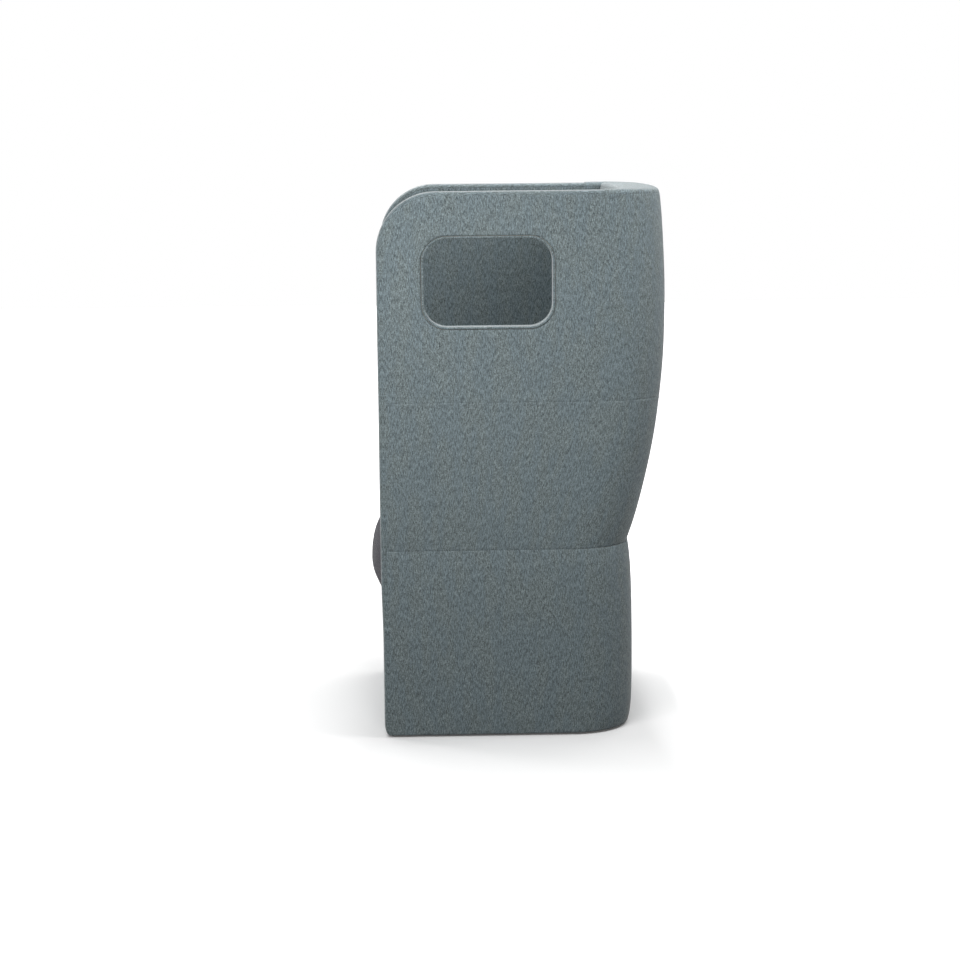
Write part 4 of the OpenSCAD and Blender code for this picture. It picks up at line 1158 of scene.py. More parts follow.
@dataclass(frozen=True)
class Opening:
    """The window in the left panel: a rounded rectangle in y and z."""

    centre: Pair
    half: Pair
    radius: float
    rings: tuple[float, ...] = (0.8, 0.63, 0.48, 0.35, 0.25, 0.17, 0.11, 0.065, 0.03, 0.0)

    @classmethod
    def from_frame(cls, radius: float = 63 * MM) -> "Opening":
        """Takes the window's outline from its packed piping."""
        low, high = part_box("window_piping")
        return cls(((low[1] + high[1]) / 2, (low[2] + high[2]) / 2),
                   ((high[1] - low[1]) / 2, (high[2] - low[2]) / 2), radius)

    def reach(self, angles: Array, inset: float) -> Array:
        """Distance from the middle to the outline in some directions, with the outline drawn in."""
        c, s = np.abs(np.cos(angles)), np.abs(np.sin(angles))
        hw, hh, r = self.half[0] - inset, self.half[1] - inset, self.radius - inset
        side = hw / np.maximum(c, 1e-9)
        end = hh / np.maximum(s, 1e-9)
        cx, cy = hw - r, hh - r
        along = c * cx + s * cy
        corner = along + np.sqrt(np.maximum(along**2 - cx**2 - cy**2 + r**2, 0))
        return np.where(side * s <= cy, side, np.where(end * c <= cx, end, corner))

    def gap(self, points: Array) -> Array:
        """Distance of points from the outline, measured from the middle."""
        y, z = points[:, 1] - self.centre[0], points[:, 2] - self.centre[1]
        return np.hypot(y, z) - self.reach(np.arctan2(z, y), 0.0)

    def outline(self, inset: float, count: int) -> Array:
        """y and z of evenly spaced points on the outline, drawn in by an amount."""
        angles = np.linspace(0, 2 * math.pi, 4001)
        reach = self.reach(angles, inset)
        dense = np.stack([reach * np.cos(angles), reach * np.sin(angles)], axis=1)
        lengths = path_length(dense)
        places = np.arange(count) / count * lengths[-1]
        return np.stack([np.interp(places, lengths, dense[:, k]) + self.centre[k] for k in range(2)], axis=1)

    def cut(self, grid: Array, u: Array, v: Array, keep: Array | None, margin: float, inset: float) -> Sheet:
        """Makes a sheet from an upright grid with the window cut out of it.

        The cells near the window are replaced by rings that lead from the grid to the window's outline.

        Args:
            grid: Points of an upright plane, by row and column.
            u: Weave's distance for each column.
            v: Weave's distance for each point or row.
            keep: Which cells have a face, or None.
            margin: Distance round the window in which the cells are replaced.
            inset: How far the cut lies inside the outline.

        Returns:
            The sheet with its hole.
        """
        rows, columns = grid.shape[:2]
        flat_weave = grid_weave(u, v, rows, columns).reshape(-1, 2)
        near = np.abs(grid[:, :, 1] - self.centre[0]) < self.half[0] + margin
        near &= np.abs(grid[:, :, 2] - self.centre[1]) < self.half[1] + margin
        i = np.where(near.any(axis=1))[0]
        j = np.where(near.any(axis=0))[0]
        i0, i1, j0, j1 = i[0], i[-1], j[0], j[-1]
        cells = np.ones((rows - 1, columns - 1), dtype=bool) if keep is None else keep.copy()
        cells[i0:i1, j0:j1] = False
        loop = ([(i0, c) for c in range(j0, j1)] + [(r, j1) for r in range(i0, i1)]
                + [(i1, c) for c in range(j1, j0, -1)] + [(r, j0) for r in range(i1, i0, -1)])
        rim = np.array([r * columns + c for r, c in loop])
        outer = grid.reshape(-1, 3)[rim]
        angles = np.arctan2(outer[:, 2] - self.centre[1], outer[:, 1] - self.centre[0])
        reach = self.reach(angles, inset)
        inner = outer.copy()
        inner[:, 1] = self.centre[0] + reach * np.cos(angles)
        inner[:, 2] = self.centre[1] + reach * np.sin(angles)
        shares = np.array(self.rings)
        rings = inner[None] + (outer - inner)[None] * shares[:, None, None]
        ring_weave = flat_weave[rim][None] + (rings - outer[None])[:, :, 1:]
        count = len(rim)
        start = rows * columns
        faces = []
        for k in range(len(shares)):
            here = rim if k == 0 else start + (k - 1) * count + np.arange(count)
            there = start + k * count + np.arange(count)
            faces.append(np.stack([here, np.roll(here, -1), np.roll(there, -1), there], axis=1))
        points = np.concatenate([grid.reshape(-1, 3), rings.reshape(-1, 3)])
        all_weave = np.concatenate([flat_weave, ring_weave.reshape(-1, 2)])
        return Sheet(points, np.concatenate([grid_faces(rows, columns, cells), *faces]), all_weave).trimmed()


# Sub-assemblies


@dataclass
class SidePanels:
    """The covers of the two upright side panels, with the window in the left one."""

    form: ShellForm
    opening: Opening
    tailor: Tailor = Tailor()
    band_tailor: Tailor = Tailor(seam_depth=0.9 * MM, seam_reach=2.4 * MM, wave=0.3 * MM, pucker=0.15 * MM)
    lining_tailor: Tailor = Tailor(seam_depth=0.5 * MM, wave=0.15 * MM, pucker=0.1 * MM)
    step: float = 6 * MM
    band_crown: float = 1.2 * MM
    piping_r: float = 3 * MM
    piping_depth: float = 2.5 * MM
    piping_wander: float = 0.15 * MM
    lining_gap: float = 0.4 * MM
    groove_depth: float = 2 * MM
    groove_reach: float = 2.6 * MM
    cut_margin: float = 26 * MM
    cut_inset: float = -0.9 * MM
    inner_low: float = 400 * MM
    strip_y: float = 60 * MM
    upper_height: float = 500 * MM
    upper_rows: tuple[float, ...] = (0, 2, 4.6, 8, 13, 20, 29)
    inner_height: float = 930 * MM
    inner_rows: tuple[float, ...] = (0, 1.2, 2.6, 4.6, 7, 11, 16)

    def build(self, piping: PipingTree) -> None:
        """Makes and dresses all the panels' covers."""
        for side in Side:
            self.middle_cover(side)
            self.upper_cover(side)
            self.inner_cover(side)
            self.edge_band(side)
        self.window_lining()
        self.window_piping(piping)

    def side_columns(self) -> tuple[Array, Array]:
        """Places of the columns from a panel's front seam to the upright seam, and their distances."""
        return self.form.stations(0, self.form.seam_place, self.form.seam_back, self.step)

    def front_columns(self) -> tuple[Array, Array]:
        """Columns under a panel's rounded corner, closer together where its edge is steep."""
        form = self.form
        y = form.front_top_r - (form.front_top_r - form.edge_r) * np.cos(quarter(34))
        return y, y - form.edge_r

    def middle_cover(self, side: Side) -> None:
        """The cover of a panel between the waist and the upper seam."""
        q, u = self.side_columns()
        z = self.form.waist + graded(self.form.seam - self.form.waist, self.step)
        self.cover(f"middle_cover_{side.word}", side, self.form.body_grid(q, z), u, z)

    def upper_cover(self, side: Side) -> None:
        """The cover of a panel above the upper seam, under its rounded corner.

        Args:
            side: The side of the chair.
        """
        form = self.form
        flat, flat_u = self.front_columns()
        q, u = self.side_columns()
        beyond = u > flat_u[-1] + self.step / 2
        q, u = q[beyond], u[beyond]
        rise = graded(1.0, self.step / self.upper_height, self.upper_rows)
        top = np.concatenate([form.panel_top(flat, form.edge_r), np.full(len(q), form.shoulder)])
        z = form.seam + rise[:, None] * (top - form.seam)[None]
        plan = np.stack([form.wrap(q, form.back_y(z[:, len(flat) + k]), 0 * rise)[:, k]
                         for k in range(len(q))], axis=1)
        x = np.concatenate([np.full((len(rise), len(flat)), form.half_w), plan[..., 0]], axis=1)
        y = np.concatenate([np.tile(flat + form.front_y, (len(rise), 1)), plan[..., 1]], axis=1)
        u = np.concatenate([flat_u, u])
        self.cover(f"upper_cover_{side.word}", side, net(x, y, z), u, z, window=True)

    def inner_cover(self, side: Side) -> None:
        """The cover of a panel's inner face, with a strip that runs down beside the front cover.

        Args:
            side: The side of the chair.
        """
        form = self.form
        front, _ = self.front_columns()
        depth = float(form.inner_y(np.array(form.shoulder)))
        strip = np.argmin(np.abs(front - self.strip_y))
        y = np.concatenate([front, form.front_top_r + graded(depth - form.front_top_r, self.step)[1:]])
        low = graded(self.inner_low - form.hem, 2 * self.step)
        rise = graded(1.0, self.step / self.inner_height, self.inner_rows)
        top = form.panel_top(y, form.edge_r)
        z = np.concatenate([np.repeat(form.hem + low[:-1, None], len(y), axis=1),
                            self.inner_low + rise[:, None] * (top - self.inner_low)[None]])
        reach = form.inner_y(z) + self.tailor.thickness
        share = np.clip((y - form.front_top_r) / (depth - form.front_top_r), 0, 1)
        y_there = y + share * (reach - depth) + form.lean(z) * np.exp((form.edge_r - y) / self.strip_y)
        keep = np.ones((len(z) - 1, len(y) - 1), dtype=bool)
        keep[:len(low) - 1, strip:] = False
        grid = net(form.inner_x, y_there + form.front_y, z)
        self.cover(f"inner_cover_{side.word}", side, grid, y, z, keep, window=True, inside=True)

    def cover(self, name: str, side: Side, grid: Array, u: Array, v: Array, keep: Array | None = None,
              window: bool = False, inside: bool = False) -> None:
        """Sews a panel's cover from its grid.

        Args:
            name: Name of the node that it replaces.
            side: The side of the chair.
            grid: Points of the left panel's cover.
            u: Weave's distance for the columns.
            v: Weave's distance for the rows or points.
            keep: Which cells have a face, or None.
            window: Whether the left one has the window in it.
            inside: Whether the cover faces the sitter.
        """
        cut = window and side is Side.LEFT
        sheet = (self.opening.cut(grid, u, v, keep, self.cut_margin, self.cut_inset) if cut
                 else Sheet.from_grid(grid, u, v, keep))
        sheet = sheet.facing((-1, 0, 0)) if inside else self.facing_out(sheet)
        self.dress(name, side, sheet, self.tailor, self.groove if cut else None)

    @staticmethod
    def dress(name: str, side: Side, sheet: Sheet, tailor: Tailor,
              ease: Callable[[Array], Array] | None = None) -> None:
        """Sews a left panel's sheet for one side of the chair and dresses it."""
        sheet = sheet.mirrored() if side is Side.RIGHT else sheet
        fit_out(tailor.sew(f"{name}_cloth", sheet, name_seed(name), ease), SHELL_CLOTH, name)

    def groove(self, points: Array) -> Array:
        """How far the cover stands out round the window: it sinks in a groove beside the piping."""
        away = np.abs(self.opening.gap(points))
        return -self.groove_depth * np.exp(-((away / self.groove_reach) ** 2))

    @staticmethod
    def facing_out(sheet: Sheet) -> Sheet:
        """Turns a left outer sheet's faces away from the chair's middle."""
        return sheet.facing(sheet.face_middles() * (1, 1, 0) + (0.3, 0, 0))

    def edge_path(self) -> tuple[Array, Array]:
        """Path up a panel's front, round its corner and along its top, and the way inwards from it."""
        form = self.form
        r = form.front_top_r
        top_end = float(form.back_y(np.array(form.top))) - form.corner_r
        toe_line = [(form.toe_depth * (1 - math.sin(a)) + form.base_lean,
                     form.hem + form.toe_h * (1 - math.cos(a))) for a in quarter(8)[:-1]]
        rise = np.linspace(form.hem + form.toe_h, form.top - r, round((form.top - r) / self.step))
        arc = quarter(round(r * math.pi / 2 / self.step))[1:-1]
        run = np.linspace(r, top_end, round((top_end - r) / self.step))
        points = (toe_line + list(zip(form.lean(rise), rise))
                  + [(r - r * math.cos(a), form.top - r + r * math.sin(a)) for a in arc]
                  + [(y, form.top) for y in run])
        inward = ([(1.0, 0.0)] * (len(toe_line) + len(rise))
                  + [(math.cos(a), -math.sin(a)) for a in arc] + [(0.0, -1.0)] * len(run))
        return np.array(points), np.array(inward)

    def band_profile(self) -> Array:
        """Section of an edge band: distance from the panel's outer face, and depth from its edge."""
        form = self.form
        r = form.edge_r
        angles = quarter(10)
        first = np.stack([r - r * np.cos(angles), r - r * np.sin(angles)], axis=1)
        flat = np.linspace(r, form.panel_t - r, 8)[1:-1]
        crown = -self.band_crown * np.sin(math.pi * (flat - r) / (form.panel_t - 2 * r))
        last = np.stack([form.panel_t - first[::-1, 0], first[::-1, 1]], axis=1)
        return np.concatenate([first, np.stack([flat, crown], axis=1), last])

    def edge_band(self, side: Side) -> None:
        """The band that goes round the front and the top of a panel."""
        form = self.form
        path, inward = self.edge_path()
        profile = self.band_profile()
        yz = path[:, None, :] + inward[:, None, :] * profile[None, :, 1:]
        grid = net(form.half_w - profile[:, 0], yz[..., 0] + form.front_y, yz[..., 1])
        sheet = Sheet.from_grid(grid, path_length(profile), path_length(path))
        middle = np.array([form.half_w - form.panel_t / 2, form.front_y + form.front_top_r,
                           form.top - form.front_top_r])
        away = (sheet.face_middles() - middle) * (6, 1, 1)
        away[sheet.face_middles()[:, 2] < middle[2], 2] = 0
        self.dress(f"edge_band_{side.word}", side, sheet.facing(away), self.band_tailor)

    def window_lining(self) -> None:
        """The cloth that lines the window through the panel."""
        form = self.form
        outline = self.opening.outline(2 * self.piping_r - self.lining_gap, 260)
        ring = np.concatenate([outline, outline[:1]])
        x = form.inner_x + self.piping_r + graded(form.panel_t - 2 * self.piping_r, self.step)
        sheet = Sheet.from_grid(net(x[:, None], ring[:, 0], ring[:, 1]), path_length(ring), x)
        inward = (np.array([0, *self.opening.centre]) - sheet.face_middles()) * (0, 1, 1)
        sheet = weld_columns(sheet.facing(inward), len(x), len(ring))
        fit_out(self.lining_tailor.sew("window_lining_cloth", sheet, 5), SHELL_CLOTH, "window_lining")

    def window_piping(self, piping: PipingTree) -> None:
        """The round piping at both faces of the window."""
        form = self.form
        outline = self.opening.outline(self.piping_r, 300)
        for word, x in (("outer", form.half_w - self.piping_depth),
                        ("inner", form.inner_x + self.piping_depth)):
            path = np.concatenate([np.full((len(outline), 1), x), outline], axis=1)
            path[:, 0] += self.piping_wander * soft_waves(path, 31, (0.03, 0.08))
            ring = piping.make(f"window_piping_{word}", path, self.piping_r, SHELL_CLOTH)
            fit_out(ring, SHELL_CLOTH, "window_piping")


def weld_columns(sheet: Sheet, rows: int, columns: int) -> Sheet:
    """Joins the last column of a grid's sheet to its first, which lies in the same place."""
    numbers = np.arange(rows * columns).reshape(rows, columns)
    numbers[:, -1] = numbers[:, 0]
    return Sheet(sheet.points, numbers.ravel()[sheet.faces], sheet.weave).trimmed()


@dataclass
class Back:
    """The covers of the back: its rear, its top and its inner face."""

    form: ShellForm
    tailor: Tailor = Tailor()
    step: float = 6 * MM
    crown: float = 3 * MM
    end_places: int = 40
    rear_places: int = 90
    flat_rows: int = 14
    side_gap: float = 0.3 * MM

    def build(self) -> None:
        """Makes and dresses all the back's covers."""
        form = self.form
        self.rear_cover("rear_middle_cover", form.waist, form.seam)
        self.rear_cover("rear_upper_cover", form.seam, form.shoulder)
        self.top_cover()
        self.inner_cover()

    def rear_cover(self, name: str, low: float, high: float) -> None:
        """A cover round the rear between the two upright seams, and between two heights."""
        form = self.form
        z = low + graded(high - low, self.step)
        q, u = form.stations(form.seam_place, 6 - form.seam_place, form.seam_back, self.step)
        sheet = Sheet.from_grid(form.body_grid(q, z), u, z)
        away = (sheet.face_middles() - (0, form.front_y + form.rear_y / 2, 0)) * (1, 1, 0)
        fit_out(self.tailor.sew(f"{name}_cloth", sheet.facing(away), name_seed(name)), SHELL_CLOTH, name)

    def top_cover(self) -> None:
        """The cover over the back's top, from one panel round to the other."""
        form = self.form
        r = form.edge_r
        q = np.concatenate([np.linspace(1, 2, self.end_places), np.linspace(2, 4, self.rear_places)[1:-1],
                            np.linspace(4, 5, self.end_places)])
        inner = self.inner_path(form.rear_top_y - form.corner_r)
        bends = [(r - r * math.cos(a), form.top - r + r * math.sin(a)) for a in quarter(8)]
        outer_sections = [(form.wrap(q, np.array([form.rear_top_y]), np.array([inset]))[0], z)
                          for inset, z in bends]
        inner_sections = [(inner(inset), z) for inset, z in bends[::-1]]
        start, end = outer_sections[-1][0], inner_sections[0][0]
        between = [(start + (end - start) * share, form.top)
                   for share in np.linspace(0, 1, self.flat_rows)[1:-1]]
        sections = outer_sections + between + inner_sections
        grid = np.stack([np.concatenate([plan, np.full((len(q), 1), z)], axis=1) for plan, z in sections])
        grid[..., 2] += self.crown * np.sin(np.linspace(0, math.pi, len(sections)))[:, None] ** 2
        sheet = Sheet.from_grid(grid, path_length(grid[0]), path_length(grid[:, len(q) // 2]))
        made = self.tailor.sew("back_top_cloth", sheet.facing((0, 0, 1)), 77)
        fit_out(made, SHELL_CLOTH, "back_top_cover")

    def inner_path(self, turn: float) -> Callable[[float], Array]:
        """The inner edge of the back's top.

        Args:
            turn: Where the rear corners begin, behind the panels' fronts.

        Returns:
            A function that gives the edge's places for a drawn-in amount.
        """
        form = self.form
        inner_y = float(form.inner_y(np.array(form.top)))
        beside = self.end_places // 2

        def places(inset: float) -> Array:
            """Places of the edge, drawn in by an amount."""
            x, y = form.inner_x + inset, inner_y + inset
            side = [(x, turn + (y - turn) * k / beside) for k in range(beside)]
            corner = [(x + (form.corner_x - x) * k / beside, y) for k in range(beside)]
            rear = [(form.corner_x * share, y) for share in np.linspace(1, -1, self.rear_places)[1:-1]]
            left = side + corner
            return np.array(left + rear + [(-px, py) for px, py in left[::-1]]) + (0, form.front_y)
        return places

    def inner_cover(self) -> None:
        """The cover of the inner back, behind the cushion and above it."""
        form = self.form
        half = form.inner_x - self.side_gap
        x = graded(2 * half, self.step) - half
        z = form.waist + graded(form.shoulder - form.waist, self.step)
        grid = net(x, form.inner_y(z)[:, None] + form.front_y, z[:, None])
        sheet = Sheet.from_grid(grid, x, z).facing((0, -1, 0))
        fit_out(self.tailor.sew("back_inner_cloth", sheet, 19), SHELL_CLOTH, "back_inner_cover")


@dataclass
class Base:
    """The cover round the base, the cover under the seat, the glides and the underside's staples."""

    form: ShellForm
    tailor: Tailor = Tailor()
    step: float = 7 * MM
    hem_rows: tuple[float, ...] = (0, 0.3, 0.8, 1.6, 2.6, 4, 6, 9, 13)
    recess: float = 28 * MM
    low_seat: float = 342.5 * MM
    turn_r: float = 5 * MM
    flap: float = 24 * MM
    side_gap: float = 0.3 * MM
    middle_y: float = 200 * MM
    side_band: float = 6 * MM
    staple: Triple = (10 * MM, 0.5 * MM, 0.3 * MM)
    staple_pitch: float = 45 * MM
    staple_wander: float = 0.2
    staple_ends: Pair = (0.15, 5.85)
    staple_in: float = 26 * MM
    staple_rear: float = 14 * MM

    def build(self, rows: RowTree) -> None:
        """Makes and dresses all the base's pieces."""
        self.lower_cover()
        self.front_cover()
        self.staples(rows)
        for corner in CORNERS:
            self.glide_pad(corner)
            self.glide_stem(corner)

    def lower_cover(self) -> None:
        """The band of cloth round both sides and the rear of the base."""
        form = self.form
        z = form.hem + graded(form.waist - form.hem, self.step, self.hem_rows)
        q, u = form.stations(0, 6, form.base_rear_y, self.step)
        plan = form.wrap(q, form.base_y(z), form.base_inset(z), form.lean(z))
        sheet = Sheet.from_grid(net(plan[..., 0], plan[..., 1], z[:, None]), u, z)
        away = (sheet.face_middles() - (0, form.front_y + self.middle_y, 0)) * (1, 1, 0)
        away[np.abs(away[:, 0]) > form.half_w - self.side_band, 1] = 0
        fit_out(self.tailor.sew("lower_cloth", sheet.facing(away), 41), SHELL_CLOTH, "lower_cover")

    def front_cover(self) -> None:
        """The recessed cover between the panels, under the seat."""
        form = self.form
        half = form.inner_x - self.side_gap
        x = graded(2 * half, self.step) - half
        z = form.hem + graded(self.low_seat - self.turn_r - form.hem, self.step)
        turn = quarter(7)[1:]
        over = np.arange(self.step, self.flap, self.step)
        rise = np.concatenate([z, z[-1] + self.turn_r * np.sin(turn), np.full(len(over), self.low_seat)])
        depth = np.concatenate([0 * z, self.turn_r * (1 - np.cos(turn)), self.turn_r + over])
        grid = net(x, form.front_y + self.recess + depth[:, None], rise[:, None])
        sheet = Sheet.from_grid(grid, x, path_length(np.stack([depth, rise], axis=1))).facing((0, -1, 0.2))
        fit_out(self.tailor.sew("front_cloth", sheet, 43), SHELL_CLOTH, "front_cover")

    def staples(self, rows: RowTree) -> None:
        """Staples that hold the dust cover to the bottom frame."""
        form = self.form
        q = np.linspace(*self.staple_ends, 400)
        plan = form.wrap(q, np.array([form.base_rear_y - self.staple_rear]), np.array([self.staple_in]))[0]
        points = np.concatenate([plan, np.full((len(plan), 1), form.bottom)], axis=1)
        down = np.tile((0.0, 0.0, -1.0), (len(points), 1))
        motif = thread_motif("staple", *self.staple)
        made = rows.make("dust_cover_staples", [(points, down)], motif, self.staple_pitch, STEEL,
                         self.staple_wander, 4)
        fit_out(made, STEEL)

    def glide_pad(self, corner: str) -> None:
        """A moulded pad with a rounded rim and a raised boss round its socket.

        Args:
            corner: The corner that it stands at.
        """
        node = f"glide_pad_{corner}"
        low, high = (Vector(v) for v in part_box(node))
        centre = Vector(((low.x + high.x) / 2, (low.y + high.y) / 2, low.z))
        r, h = (high.x - low.x) / 2, high.z - low.z
        lip = 1.2 * MM
        sole = [(0, 0), (r - 2 * lip, 0), (r - lip, 0.15 * MM), (r - 0.3 * lip, 0.5 * lip), (r, 1.2 * lip)]
        top = [(r, 0.55 * h), (r - 0.4 * lip, 0.72 * h), (r - 1.5 * lip, 0.82 * h), (0.55 * r, 0.9 * h)]
        socket = [(0.5 * r, h), (0.24 * r, h), (0.22 * r, 0.5 * h), (0, 0.5 * h)]
        points, faces = revolve(sole + top + socket, centre)
        pad = mesh_object(f"{node}_moulding", points, faces, sharp=CRISP_ANGLE)
        fit_out(pad, NYLON, node, body=f"pad_{corner}")

    def glide_stem(self, corner: str) -> None:
        """A threaded stem with a hexagonal collar.

        Args:
            corner: The corner that it stands at.
        """
        node = f"glide_stem_{corner}"
        low, high = (Vector(v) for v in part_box(node))
        centre = Vector(((low.x + high.x) / 2, (low.y + high.y) / 2, 0))
        r, pitch, depth, collar_r = 4 * MM, 1.25 * MM, 0.55 * MM, 8 * MM
        collar_low, collar_top = 5.5 * MM, 8.2 * MM
        heights = np.arange(collar_top + MM, high.z - MM, pitch / 5)

        def thread(angles: Array, z: Array) -> Array:
            """Radius to add: the collar's flats, and the thread's cut above it."""
            turn = np.mod(z / pitch - angles / (2 * math.pi), 1.0)
            cut = depth * np.abs(2 * turn - 1)
            flats = math.cos(math.pi / 6) / np.cos(np.mod(angles, math.pi / 3) - math.pi / 6) - 1
            on_collar = (z > collar_low) & (z < collar_top)
            on_thread = (z >= heights[0]) & (z <= heights[-1])
            return np.where(on_collar, collar_r * flats, np.where(on_thread, -cut, 0.0))
        profile = ([(0, low.z), (r - 0.4 * MM, low.z), (r - 0.2 * MM, low.z + 0.4 * MM),
                    (r - 0.2 * MM, collar_low), (collar_r - 0.3 * MM, collar_low + 0.01 * MM),
                    (collar_r, collar_low + 0.3 * MM), (collar_r, collar_top - 0.3 * MM),
                    (collar_r - 0.3 * MM, collar_top - 0.01 * MM), (r - 0.4 * MM, collar_top)]
                   + [(r, z) for z in heights] + [(r - 0.9 * MM, high.z), (0, high.z)])
        points, faces = revolve(profile, centre, 36, thread)
        stem = mesh_object(f"{node}_threaded", points, faces, sharp=CRISP_ANGLE)
        fit_out(stem, STEEL, node, body=f"stem_{corner}")


@dataclass(frozen=True)
class Swell:
    """How a pad is let swell as simulated cloth."""

    voxel: float = 7 * MM
    pressure: float = 4.0
    frames: int = 20
    cap: float = 10 * MM


def swollen(name: str, points: Array, faces: Sequence[Sequence[int]], swell: Swell) -> Item:
    """Remeshes a closed pad and lets it swell under pressure, as cloth.

    Args:
        name: Name of the new pad.
        points: Points of its slack shape.
        faces: Faces of its slack shape.
        swell: Settings of the simulation.

    Returns:
        The pad with one subdivision, and no modifier left on it.
    """
    pad = mesh_object(name, points, faces)
    remesh = pad.modifiers.new("remesh", "REMESH")
    remesh.mode = "VOXEL"
    remesh.voxel_size = swell.voxel
    settle(pad)
    start = mesh_points(pad)
    cloth = pad.modifiers.new("swell", "CLOTH")
    cloth.settings.quality = 5
    cloth.settings.mass = 0.3
    cloth.settings.tension_stiffness = 20
    cloth.settings.compression_stiffness = 20
    cloth.settings.shear_stiffness = 8
    cloth.settings.bending_stiffness = 1.5
    cloth.settings.use_pressure = True
    cloth.settings.uniform_pressure_force = swell.pressure
    cloth.settings.effector_weights.gravity = 0
    cloth.collision_settings.use_collision = False
    cloth.point_cache.frame_start = 1
    cloth.point_cache.frame_end = swell.frames
    for frame in range(1, swell.frames + 1):
        bpy.context.scene.frame_set(frame)
    settle(pad)
    bpy.context.scene.frame_set(1)
    moved = mesh_points(pad) - start
    moved -= moved.mean(axis=0)
    size = np.linalg.norm(moved, axis=1, keepdims=True)
    kept = swell.cap * np.tanh(size / swell.cap)
    LOG.info("%s swelled by %.1f mm, %.1f mm at most", name, 1000 * kept.mean(), 1000 * kept.max())
    move_points(pad, start + moved * kept / np.maximum(size, 1e-9))
    smooth = pad.modifiers.new("smooth", "SUBSURF")
    smooth.levels = smooth.render_levels = 1
    settle(pad)
    pad.data.shade_smooth()
    return pad


def pad_places(half: float, r: float) -> Array:
    """Places of a pad's sections across it, closer together over its rounded sides."""
    edge = half - r + r * np.sin(quarter(9))
    return np.concatenate([-edge[::-1], np.linspace(-edge[0], edge[0], 22)[1:-1], edge])


def side_draw(place: float, half: float, r: float) -> float:
    """How far the rounded side of a pad draws its section in at a place across it."""
    past = max(0.0, abs(place) - (half - r))
    return r - math.sqrt(max(r**2 - past**2, 0))


@dataclass(frozen=True)
class Stitch:
    """A stitch of the cushions' dark thread, and the distance from one to the next."""

    length: float = 3.4 * MM
    radius: float = 0.32 * MM
    rise: float = 0.3 * MM
    pitch: float = 4.6 * MM
    lift: float = 0.1 * MM

    def sew(self, rows: RowTree, name: str, paths: Sequence[tuple[Array, Array]], seed: int) -> None:
        """Sets stitches along some paths."""
        motif = thread_motif(f"{name}_motif", self.length, self.radius, self.rise)
        fit_out(rows.make(name, paths, motif, self.pitch, DARK_THREAD, seed=seed), DARK_THREAD)


def even_loop(corners: Array, count: int) -> Array:
    """Evenly spaced points round a closed outline."""
    closed = np.concatenate([corners, corners[:1]])
    lengths = path_length(closed)
    places = np.arange(count) / count * lengths[-1]
    return np.stack([np.interp(places, lengths, closed[:, k]) for k in range(2)], axis=1)


def profile_weave(points: Array, profile: Array) -> Array:
    """The weave's place on a pad: across it, and along the nearest place of its profile."""
    flat = points[:, 1:]
    lengths = path_length(profile)
    nearest = np.empty(len(points), dtype=int)
    for start in range(0, len(points), 4000):
        part = flat[start:start + 4000]
        nearest[start:start + 4000] = ((part[:, None, :] - profile[None]) ** 2).sum(axis=-1).argmin(axis=1)
    here = profile[nearest]
    there = profile[np.minimum(nearest + 1, len(profile) - 1)]
    step = there - here
    extra = ((flat - here) * step).sum(axis=1) / np.maximum(np.linalg.norm(step, axis=1), 1e-9)
    return np.stack([points[:, 0], lengths[nearest] + extra], axis=1)


def held_within(flat: Array, profile: Array, limit: Array, fill: Array) -> Array:
    """Brings points that stand outside a closed profile back to it, and those inside nearer to it.

    Args:
        flat: Points in the profile's plane.
        profile: Dense points of the closed profile.
        limit: How far each point may stand outside it, or less than 0 where it has to stay inside.
        fill: Share of the way out that each point inside is moved.

    Returns:
        The moved points.
    """
    edge = np.roll(profile, -1, axis=0) - profile
    area = (profile[:, 0] * np.roll(profile[:, 1], -1) - np.roll(profile[:, 0], -1) * profile[:, 1]).sum()
    outward = np.stack([edge[:, 1], -edge[:, 0]], axis=1) * np.sign(area)
    outward /= np.maximum(np.linalg.norm(outward, axis=1, keepdims=True), 1e-12)
    held = flat.copy()
    for start in range(0, len(flat), 4000):
        part = flat[start:start + 4000]
        nearest = ((part[:, None, :] - profile[None]) ** 2).sum(axis=-1).argmin(axis=1)
        out = ((part - profile[nearest]) * outward[nearest]).sum(axis=1)
        excess = out - limit[start:start + 4000]
        excess *= np.where(excess < 0, fill[start:start + 4000], 1)
        held[start:start + 4000] = part - outward[nearest] * excess[:, None]
    return held


def surface_line(pad: Item, wanted: Array, lift: float) -> tuple[Array, Array]:
    """Brings a line to the nearest places on a pad's surface.

    Args:
        pad: The pad.
        wanted: Rough places of the line.
        lift: How far the line stands off the surface.

    Returns:
        The places, and the outward direction at each.
    """
    tree = BVHTree.FromObject(pad, bpy.context.evaluated_depsgraph_get())
    hits = [tree.find_nearest(Vector(p)) for p in wanted]
    normals = np.array([hit[1] for hit in hits])
    return np.array([hit[0] for hit in hits]) + normals * lift, normals


